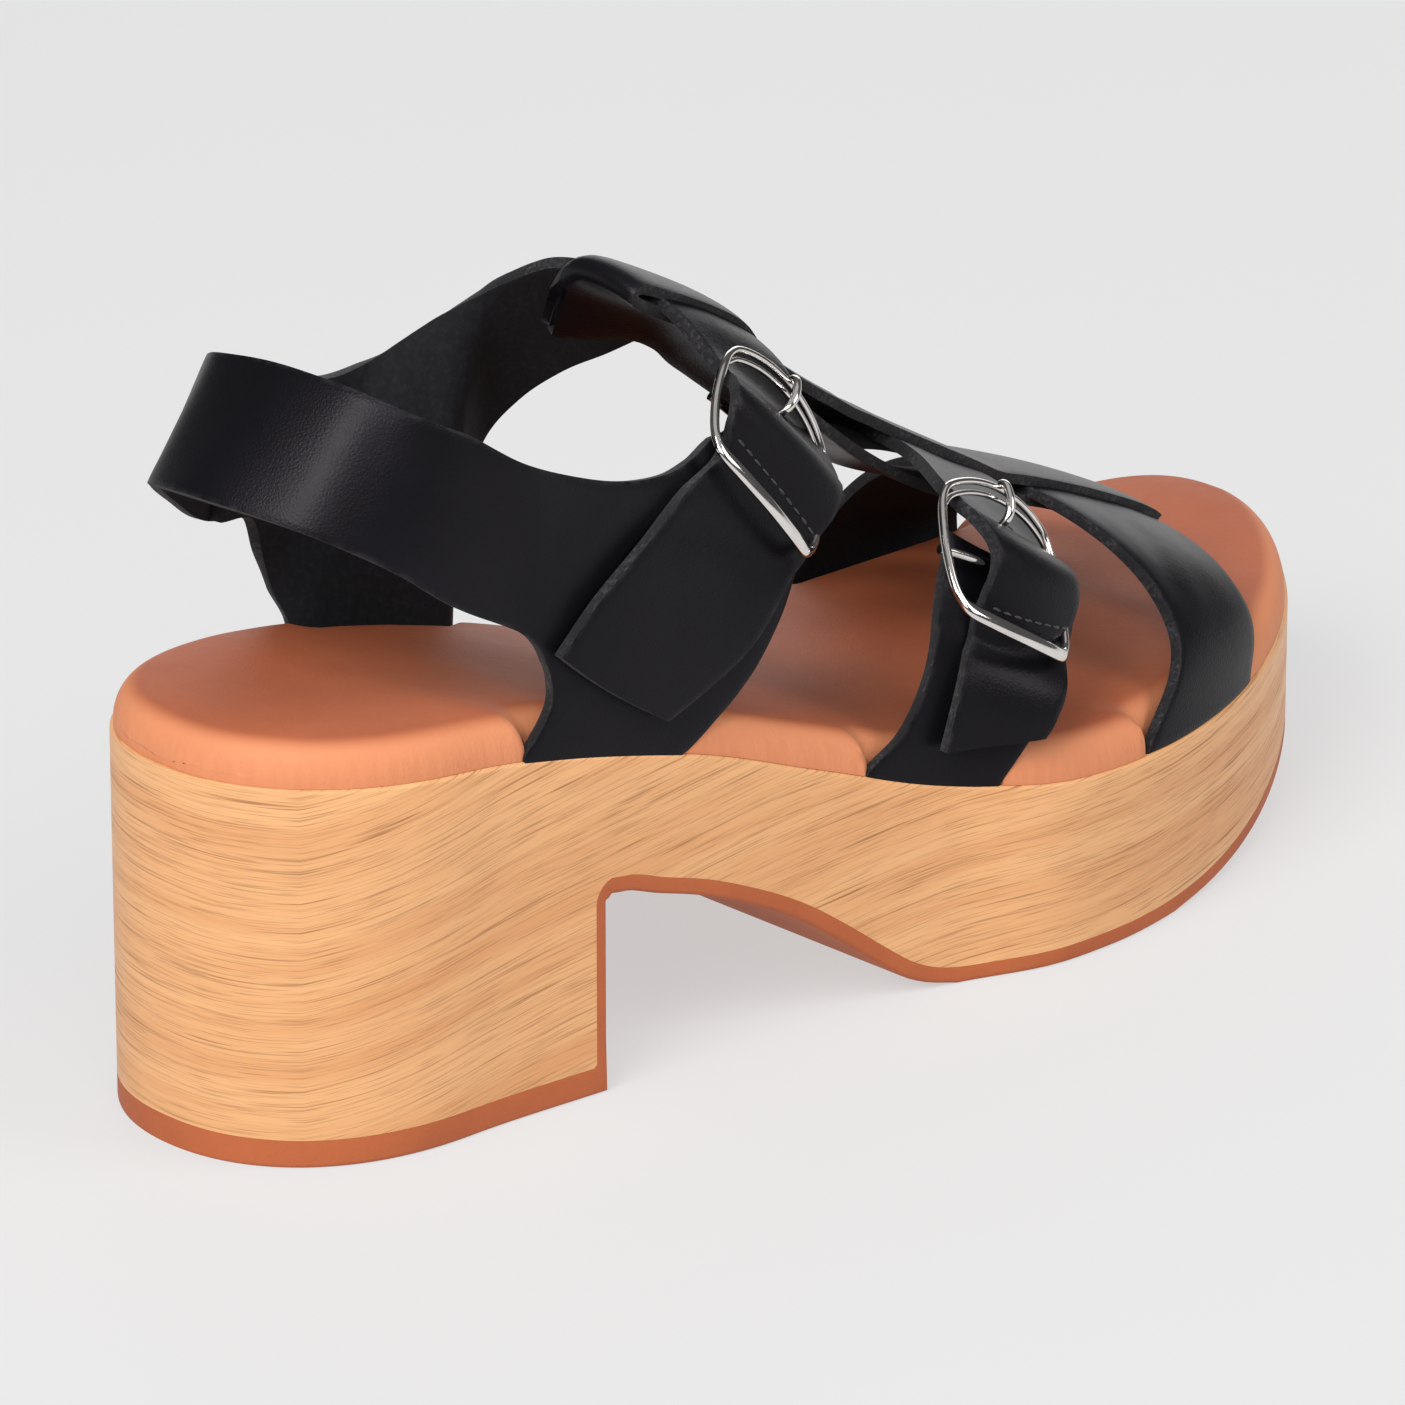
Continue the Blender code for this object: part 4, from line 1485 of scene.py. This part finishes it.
# Rows across each strap, in order along it.
TOE_BAND = rows_of(
    LastRow, (164.5, 0.0, 199.0, 0.0), (174.5, 15.0, 203.0, 15.0), (178.5, 30.0, 204.5, 30.0),
    (178.5, 50.0, 205.0, 50.0), (177.0, 70.0, 204.0, 70.0), (176.0, 90.0, 202.0, 90.0),
    (176.0, 110.0, 201.0, 110.0), (176.0, 130.0, 201.5, 130.0), (175.0, 150.0, 203.0, 150.0),
    (171.5, 165.0, 205.5, 165.0), (164.0, 180.0, 207.0, 180.0),
)
MID_STRAP = rows_of(
    LastRow, (126.0, 180.0, 149.0, 180.0), (131.0, 166.0, 153.0, 166.0), (135.0, 150.0, 155.5, 150.0),
    (140.0, 130.0, 159.5, 130.0, 0.6), (143.5, 110.0, 162.0, 110.0, 1.5), (145.0, 90.0, 163.5, 90.0, 1.5),
    (145.0, 75.0, 163.5, 71.0, 1.3), (137.2, 55.0, 159.0, 52.5, 1.3, -2.2), (136.6, 38.8, 154.0, 38.3, 5.6, -1.7),
    (132.8, 26.0, 150.0, 25.0, 0.2, -1.0), (129.8, 19.0, 146.0, 17.0, 2.2), (126.5, 12.0, 142.5, 11.5, 3.4),
    (123.5, 4.0, 140.0, 7.5, 3.4),
)
MID_BUCKLE_ROW = 8
MID_SEAT = rows_of(
    LastRow, (139.5, 55.0, 157.0, 52.5, 1.3, -2.2), (133.5, 38.8, 150.5, 38.3, 5.6, -1.7),
    (129.5, 26.0, 146.0, 25.0, 0.2, -1.0),
)
MID_TAB = rows_of(
    LastRow, (111.0, 0.0, 135.0, 0.0), (118.5, 5.5, 139.0, 5.0), (124.5, 16.0, 144.0, 14.0),
    (128.5, 29.0, 147.5, 27.0, -0.6, -0.8), (130.2, 34.0, 148.8, 33.0, -0.6, -1.2),
    (131.8, 39.0, 149.8, 38.0, 0.4, -1.3), (133.2, 44.0, 150.8, 43.0, 0.6, -1.4),
)
SLING = rows_of(
    FreeRow, ((-34.6, 50.3, 75.7), (-32.3, 52.3, 99.6)), ((-32.5, 44.8, 79.0), (-29.8, 46.6, 102.6)),
) + rows_of(
    HeelRow, (-78.0, 82.5, 106.0, 1.7), (-65.0, 88.5, 109.0, 0.8), (-50.0, 93.2, 111.6, 0.1), (-30.0, 96.8, 114.0),
    (0.0, 98.9, 116.0), (30.0, 97.7, 115.3), (50.0, 94.3, 113.3), (65.0, 89.8, 111.0), (78.0, 83.6, 108.4),
)
LATERAL_QUARTER = rows_of(
    SideRow, (46.5, 76.6, 47.0, 103.0), (50.4, 70.6, 55.0, 99.2), (51.2, 66.0, 66.0, 95.2),
    (50.4, 62.2, 76.0, 93.2), (49.5, 59.4, 83.0, 93.2), (49.3, 57.5, 86.5, 93.7), (55.5, 56.1, 88.4, 94.0),
    (65.5, 54.0, 89.9, 94.2), (77.5, 50.9, 91.1, 94.3), (83.4, 55.2, 93.0, 93.8), (89.8, 60.4, 97.0, 90.5),
    (95.4, 66.4, 101.5, 86.2, -0.3), (100.0, 72.2, 105.5, 81.8, -0.9), (104.0, 76.0, 107.0, 78.8, -1.6),
)
MEDIAL_QUARTER = rows_of(
    HeelRow, (-80.0, 82.0, 106.0),
) + rows_of(
    FreeRow, ((-30.5, 45.0, 79.2), (-27.8, 47.0, 103.0)), ((-32.5, 48.8, 71.4), (-31.5, 55.0, 99.2)),
    ((-31.4, 49.8, 66.0), (-36.0, 66.0, 95.2)), ((-28.4, 50.2, 61.8), (-38.0, 75.5, 94.9)),
    ((-26.3, 49.2, 57.6), (-37.3, 81.6, 97.0)), ((-25.5, 56.0, 56.1), (-36.2, 84.6, 98.6)),
    ((-24.3, 66.0, 53.9), (-35.0, 86.7, 100.0)), ((-22.6, 76.5, 51.2), (-33.6, 88.3, 101.2)),
    ((-28.5, 84.0, 58.0), (-32.0, 90.0, 102.5)), ((-34.5, 91.3, 66.5), (-30.2, 91.5, 103.8)),
    ((-37.8, 98.6, 76.0), (-28.0, 92.8, 105.4)), ((-35.5, 104.3, 82.4), (-25.3, 94.0, 107.0)),
    ((-30.0, 108.7, 87.5), (-21.8, 95.0, 108.9)), ((-24.0, 112.1, 91.0), (-18.0, 95.6, 110.4)),
    ((-17.0, 114.2, 95.3), (-12.0, 95.6, 111.3)),
)
ANKLE_STRAP = rows_of(
    LastRow, (113.5, 90.0, 95.5, 86.0, 1.5), (115.5, 70.0, 97.5, 75.0, 1.2), (115.0, 47.8, 97.6, 59.2, 0.2, 1.4),
    (109.4, 36.8, 93.0, 49.2, 4.9, 1.6), (102.4, 27.6, 88.6, 40.2, 1.4, 1.4), (95.5, 21.5, 78.4, 29.3, 2.3),
    (87.5, 13.0, 67.5, 17.0, 2.8), (78.5, 6.5, 58.0, 9.5, 2.8), (70.5, 2.5, 50.5, 4.8, 2.8),
)
ANKLE_BUCKLE_ROW = 3
ANKLE_SEAT = rows_of(
    LastRow, (112.4, 48.2, 98.4, 58.6, 0.2, 1.4), (106.6, 37.6, 94.2, 47.8, 4.9, 1.6),
    (100.8, 28.2, 89.6, 39.0, 1.4, 1.4),
)
STRIP_LOOP = rows_of(
    LoopRow, (92.5, 2.5), (96.0, 3.4), (112.0, 3.4), (119.5, 0.4), (130.0, 1.5), (143.0, 3.4), (163.0, 3.4),
    (170.0, 2.2), (177.0, 2.0), (190.0, 2.0), (201.5, 2.0), (205.8, 1.0), (201.5, 0.0), (190.0, 0.0), (177.0, 0.0),
    (168.0, -0.8), (155.0, -1.5), (142.0, -1.5), (129.0, -1.5), (119.0, -0.8), (111.0, 1.5), (97.0, 1.5),
)


@dataclass
class Stitching:
    """Rows of stitches on a strap, each at a row of it and between two shares of the way across."""

    name: str
    strap: Strap
    runs: tuple[Place, ...]
    pitch: float = 3.6
    length: float = 2.9
    thread: float = 0.36
    proud: float = 0.05
    segments: tuple[int, int] = (10, 8)

    def build(self, last: Last, finishes: Finishes) -> None:
        """Build the stitches as one piece.

        Args:
            last: Form that the straps follow.
            finishes: Finishes of the shoe.
        """
        lines = self.strap.lines(last)
        normals = self.strap.normals(lines)
        bm = bmesh.new()
        for row, first, second in self.runs:
            i = self.strap.row_at(row)
            low, high = self.strap.column_at(first), self.strap.column_at(second)
            height = self.strap.leather + self.proud
            path = [lines[i][j] + normals[i][j] * height for j in range(low, high + 1)]
            lengths = [0.0]
            for a, b in zip(path, path[1:]):
                lengths.append(lengths[-1] + (b - a).length)
            count = int(lengths[-1] / self.pitch)
            for n in range(count):
                want = (n + 0.5) * lengths[-1] / count
                k = max(m for m in range(len(path) - 1) if lengths[m] <= want)
                centre = mix(path[k], path[k + 1], (want - lengths[k]) / (lengths[k + 1] - lengths[k]))
                self.add_stitch(bm, centre, (path[k + 1] - path[k]).normalized())
        place_piece(add_object(smooth_mesh(self.name, bm), finishes.thread), "black_leather")

    def add_stitch(self, bm: bmesh.types.BMesh, centre: Vector, along: Vector) -> None:
        """Add one rounded stitch.

        Args:
            bm: Mesh to add to.
            centre: Middle of the stitch.
            along: Direction that it lies in.
        """
        turn = along.to_track_quat("Z", "Y").to_matrix().to_4x4()
        turn.translation = to_world(centre)
        stretch = Matrix.Diagonal((self.thread * MM, self.thread * MM, 0.5 * self.length * MM, 1.0))
        around, along_it = self.segments
        bmesh.ops.create_uvsphere(bm, u_segments=around, v_segments=along_it, radius=1.0, matrix=turn @ stretch)


@dataclass
class Buckle:
    """Nickel buckle: an arched frame with a broad lower bar, a thin inner bar, a centre bar and a prong."""

    name: str
    seat: tuple[LastRow, LastRow, LastRow]
    shift: Place
    lean: float
    lift: float = 4.8
    wire: float = 0.72
    top_wire: float = 0.56
    inner_wire: float = 0.44
    inner_drop: float = 0.3
    bar_width: float = 1.35
    bar_height: float = 0.8
    bar_drop: float = 1.2
    bar_steps: int = 12
    broad_from: Pair = (9.2, 1.4)
    thin_from: Pair = (6.0, 4.0)
    upright: float = 0.2
    pin: float = 0.8
    bow: float = 1.8
    section: int = 16
    steps: int = 6
    half_width: float = 14.3
    half_frame: Table = (
        (0.0, 14.35), (6.0, 13.7), (11.0, 11.9), (13.0, 9.6), (13.9, 6.0), (14.3, 0.0), (14.0, -5.0), (13.2, -8.4),
        (11.4, -10.3), (7.0, -11.2), (0.0, -11.6),
    )
    half_inner: Table = ((0.0, 12.4), (6.0, 11.8), (11.0, 9.9), (13.2, 7.4))
    prong_line: tuple[Place, ...] = (
        (8.2, -1.2, 0.66), (8.7, 0.4, 0.7), (9.9, 1.3, 0.72), (11.5, 1.65, 0.72), (13.1, 1.6, 0.7),
        (14.3, 1.35, 0.68), (15.0, 0.85, 0.62), (15.2, 0.2, 0.5),
    )

    def pose(self, last: Last) -> Matrix:
        """Place of the buckle: across the strap, up it, and outward.

        Args:
            last: Form that the straps follow.

        Returns:
            The matrix from the buckle's own frame to the layout.
        """
        above, row, below = self.seat
        lifted = LastRow(row.low_y, row.low_turn, row.high_y, row.high_turn, self.lift, row.tilt)
        across = (lifted.point(last, 1.0) - lifted.point(last, 0.0)).normalized()
        up = above.point(last, 0.5) - below.point(last, 0.5)
        out = across.cross(up).normalized()
        if out.x < 0.0:
            out = -out
        up = out.cross(across).normalized()
        if up.z < 0.0:
            up, across = -up, -across
        pose = Matrix((across, up, out)).transposed().to_4x4()
        pose.translation = lifted.point(last, 0.5)
        return pose @ Matrix.Translation(self.shift) @ Matrix.Rotation(math.radians(self.lean), 4, "X")

    def tube(self, pose: Matrix, points: Line, sizes: Sequence[Pair], closed: bool) -> list[Line]:
        """Rings of a bar along points of the buckle's own frame.

        Args:
            pose: Place of the buckle.
            points: Points along the bar.
            sizes: Half width and half height at each point.
            closed: Whether the bar is a ring.

        Returns:
            The rings, in layout millimetres.
        """
        rings = []
        count = len(points)
        for k, point in enumerate(points):
            before = points[k - 1] if k or closed else point
            after = points[(k + 1) % count] if k + 1 < count or closed else point
            along = (after - before).normalized()
            side = along.cross(Vector((0.0, 0.0, 1.0)))
            if side.length < self.upright:
                side = Vector((1.0, 0.0, 0.0))
            side.normalize()
            over = side.cross(along).normalized()
            ring = []
            for n in range(self.section):
                turn = 2.0 * math.pi * n / self.section
                offset = side * (sizes[k][0] * math.cos(turn)) + over * (sizes[k][1] * math.sin(turn))
                ring.append(pose @ (point + offset))
            rings.append(ring)
        return rings

    def bowed(self, x: float, y: float, drop: float = 0.0) -> Vector:
        """Point of the frame, bowed round the strap."""
        return Vector((x, y, -drop - self.bow * (x / self.half_width) ** 2))

    @staticmethod
    def mirrored(points: Line) -> Line:
        """Points on the other side of the buckle's middle."""
        return [Vector((-p.x, p.y, p.z)) for p in points]

    def ring_line(self) -> tuple[Line, list[Pair]]:
        """Line of the frame.

        Returns:
            Its centre line, and its half width and half height along it.
        """
        right = [self.bowed(x, y) for x, y in self.half_frame]
        points = smooth_path(right + self.mirrored(right[-2:0:-1]), self.steps, True)
        (broad_start, broad_ease), (thin_start, thin_ease) = self.broad_from, self.thin_from
        sizes = []
        for point in points:
            broad = ease((-point.y - broad_start) / broad_ease)
            wire = mix(self.wire, self.top_wire, ease((point.y - thin_start) / thin_ease))
            sizes.append((mix(wire, self.bar_width, broad), mix(wire, self.bar_height, broad)))
        return points, sizes

    def bars(self) -> list[tuple[Line, float]]:
        """Lines of the thin inner bar and the centre bar.

        Returns:
            The centre line and the half width of each.
        """
        half = [self.bowed(x, y, self.inner_drop) for x, y in self.half_inner]
        inner = smooth_path(self.mirrored(half[:0:-1]) + half, self.steps)
        shares = [mix(-1.0, 1.0, k / self.bar_steps) for k in range(self.bar_steps + 1)]
        centre = [self.bowed(share * self.half_width, 0.0, self.bar_drop) for share in shares]
        return [(inner, self.inner_wire), (centre, self.pin)]

    def build(self, last: Last, finishes: Finishes) -> None:
        """Build the buckle's frame and prong.

        Args:
            last: Form that the straps follow.
            finishes: Finishes of the shoe.
        """
        pose = self.pose(last)
        points, sizes = self.ring_line()
        ring = surface(self.name + "_ring", self.tube(pose, points, sizes, True), closed=True, ring=True)
        frame = add_object(ring, finishes.nickel)
        for line, half in self.bars():
            self.add_bar(frame, self.tube(pose, line, [(half, half)] * len(line), False))
        path = smooth_path([Vector((r, y, z)) for y, z, r in self.prong_line], self.steps)
        rings = self.tube(pose, [Vector((0.0, p.y, p.z)) for p in path], [(p.x, p.x) for p in path], False)
        prong = add_object(surface(self.name + "_pin", rings, ring=True, caps=True), finishes.nickel)
        place_piece(frame, "polished_nickel", self.name + "_frame")
        place_piece(prong, "polished_nickel", self.name + "_prong")

    @staticmethod
    def add_bar(frame: Piece, rings: list[Line]) -> None:
        """Add a bar to the frame's mesh.

        Args:
            frame: The frame.
            rings: Rings of the bar.
        """
        bm = bmesh.new()
        bm.from_mesh(frame.data)
        bm.from_mesh(surface("bar", rings, ring=True, caps=True))
        bmesh.ops.recalc_face_normals(bm, faces=bm.faces)
        bm.to_mesh(frame.data)
        bm.free()
        frame.data.shade_smooth()


@dataclass
class Upper:
    """All straps of the upper, with their creases, holes and stitches."""

    last: Last
    finishes: Finishes
    strip_leather: float = 1.7

    def straps(self) -> list[Strap]:
        """Lay out the straps.

        Returns:
            The straps, from the toe to the heel.
        """
        medial = MEDIAL_QUARTER + ANKLE_STRAP
        lateral = SLING + LATERAL_QUARTER
        ridge = len(MEDIAL_QUARTER)
        buckle = ridge + ANKLE_BUCKLE_ROW
        return [
            Strap("toe_band", TOE_BAND, flipped=True, creases=(
                Crease((2.2, 0.15), (3.6, 0.45), 0.25, 3.0), Crease((7.0, 0.2), (8.4, 0.7), 0.25, 3.5),
            )),
            Strap("mid_strap", MID_STRAP, creases=(
                Crease((8.45, 0.0), (8.45, 1.0), 0.35, 1.2), Crease((7.4, 0.0), (7.4, 1.0), 0.25, 1.4),
                Crease((9.6, 0.05), (9.9, 0.95), 0.3, 2.2),
            ), holes=(Hole(MID_BUCKLE_ROW - 0.7),)),
            Strap("mid_tab", MID_TAB, flipped=True),
            Strap("instep_strip", STRIP_LOOP, closed=True, leather=self.strip_leather, creases=(
                Crease((2.5, 0.0), (2.5, 1.0), 0.25, 2.2), Crease((4.6, 0.0), (4.6, 1.0), 0.2, 2.5),
            )),
            Strap("medial_quarter_and_ankle_strap", medial, flipped=True, across=18, creases=(
                Crease((ridge - 7.5, 0.15), (ridge - 5.5, 0.8), 0.35, 4.0),
                Crease((buckle + 0.45, 0.0), (buckle + 0.45, 1.0), 0.35, 1.2),
                Crease((buckle - 0.6, 0.0), (buckle - 0.6, 1.0), 0.25, 1.4),
                Crease((buckle + 1.8, 0.1), (buckle + 2.3, 0.9), 0.3, 3.0),
            ), holes=(Hole(buckle - 0.75),)),
            Strap("sling_and_lateral_quarter", lateral, across=18, foot_flare=4.2, creases=(
                Crease((8.2, 0.05), (8.4, 0.9), 0.25, 5.0), Crease((12.5, 0.35), (14.0, 0.75), 0.25, 4.0),
                Crease((4.4, 0.1), (4.2, 0.9), 0.25, 5.0),
            )),
        ]

    def build(self) -> None:
        """Build all straps and stitches."""
        straps = self.straps()
        mid, medial, sling = straps[1], straps[-2], straps[-1]
        mid_seam, ankle_seam = MID_BUCKLE_ROW + 0.6, len(MEDIAL_QUARTER) + ANKLE_BUCKLE_ROW + 0.62
        seams = [
            Stitching("sling_stitches", sling, ((0.25, 0.08, 0.92), (1.1, 0.08, 0.92))),
            Stitching("mid_strap_stitches", mid, ((mid_seam, 0.08, 0.95),), *FINE_STITCH),
            Stitching("ankle_strap_stitches", medial, ((ankle_seam, 0.05, 0.92),), *FINE_STITCH),
        ]
        for piece in straps + seams:
            piece.build(self.last, self.finishes)


@dataclass(frozen=True)
class Softbox:
    """Area light that shines on the shoe."""

    name: str
    place: Place
    size: float
    power: float


@dataclass
class Studio:
    """Pale floor, soft lights and the camera."""

    camera_place: Place = (1.0784, -1.0421, 0.6248)
    camera_turn: float = 48.0
    camera_drop: float = 19.2
    solved_focus: float = 7331.0
    aim: Pair = (896.0, 985.0)
    focus: float = 10400.0
    sensor: float = 36.0
    floor_half: float = 12.0
    sky: Colour = (0.9, 0.9, 0.9)
    sky_strength: float = 0.1
    lights: tuple[Softbox, ...] = (
        Softbox("key_softbox", (0.452, -1.48, 1.345), 1.1, 42.0),
        Softbox("side_softbox", (1.3, -0.92, 1.3), 0.9, 8.0),
        Softbox("back_softbox", (-1.25, 1.43, 0.65), 1.5, 11.0),
        Softbox("top_softbox", (0.1, 0.1, 2.2), 2.4, 7.0),
        Softbox("fill_softbox", (1.48, 1.03, 1.26), 1.2, 20.0),
    )

    def build(self) -> None:
        """Set up floor, lights and camera."""
        self.build_floor()
        for light in self.lights:
            self.build_light(light)
        world = bpy.data.worlds.new("studio")
        world.use_nodes = True
        background = world.node_tree.nodes["Background"]
        background.inputs["Color"].default_value = (*self.sky, 1.0)
        background.inputs["Strength"].default_value = self.sky_strength
        bpy.context.scene.world = world
        bpy.context.scene.view_settings.view_transform = "Standard"
        self.build_camera()

    def build_floor(self) -> None:
        """The floor."""
        half = self.floor_half / MM
        corners = [[Vector((x, y, 0.0)) + CENTRE for y in (-half, half)] for x in (half, -half)]
        floor = add_object(surface("studio_floor", corners), PaleFloor().make())

    @staticmethod
    def build_light(softbox: Softbox) -> None:
        """Set up a soft light, aimed at the shoe.

        Args:
            softbox: The light.
        """
        data = bpy.data.lights.new(softbox.name, "AREA")
        data.size = softbox.size
        data.energy = softbox.power
        light = bpy.data.objects.new(softbox.name, data)
        light.location = softbox.place
        light.rotation_mode = "QUATERNION"
        light.rotation_quaternion = Vector(softbox.place).to_track_quat("Z", "Y")
        bpy.context.scene.collection.objects.link(light)

    def build_camera(self) -> None:
        """The camera where the photograph was taken, turned to the shoe and closer framed."""
        turn, drop = math.radians(self.camera_turn), math.radians(self.camera_drop)
        back = Vector((math.sin(turn) * math.cos(drop), -math.cos(turn) * math.cos(drop), math.sin(drop)))
        right = Vector((math.cos(turn), math.sin(turn), 0.0))
        up = back.cross(right)
        across, down = ((c - 0.5 * IMAGE_SIDE) / self.solved_focus for c in self.aim)
        look = right * across - up * down - back
        data = bpy.data.cameras.new("camera")
        data.sensor_width = self.sensor
        data.lens = self.sensor * self.focus / IMAGE_SIDE
        camera = bpy.data.objects.new("camera", data)
        camera.location = self.camera_place
        camera.rotation_mode = "QUATERNION"
        camera.rotation_quaternion = look.to_track_quat("-Z", "Y")
        bpy.context.scene.collection.objects.link(camera)
        bpy.context.scene.camera = camera


def main() -> None:
    """Load the frame and dress it."""
    logging.basicConfig(level=logging.INFO, format="%(name)s %(message)s")
    for obj in list(bpy.data.objects):
        bpy.data.objects.remove(obj)
    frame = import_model()
    log.info("frame with %d nodes", len(frame["nodes"]))
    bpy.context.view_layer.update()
    last = Last()
    finishes = Finishes()
    Studio().build()
    sole = Sole(last, finishes)
    sole.build_outsole()
    sole.build_block()
    Insole(last, finishes).build()
    Upper(last, finishes).build()
    Buckle("ankle_buckle", ANKLE_SEAT, (0.5, 0.4, -0.4), -4.9).build(last, finishes)
    Buckle("mid_buckle", MID_SEAT, (-1.0, -0.5, 0.5), -4.1).build(last, finishes)


if __name__ == "__main__":
    main()
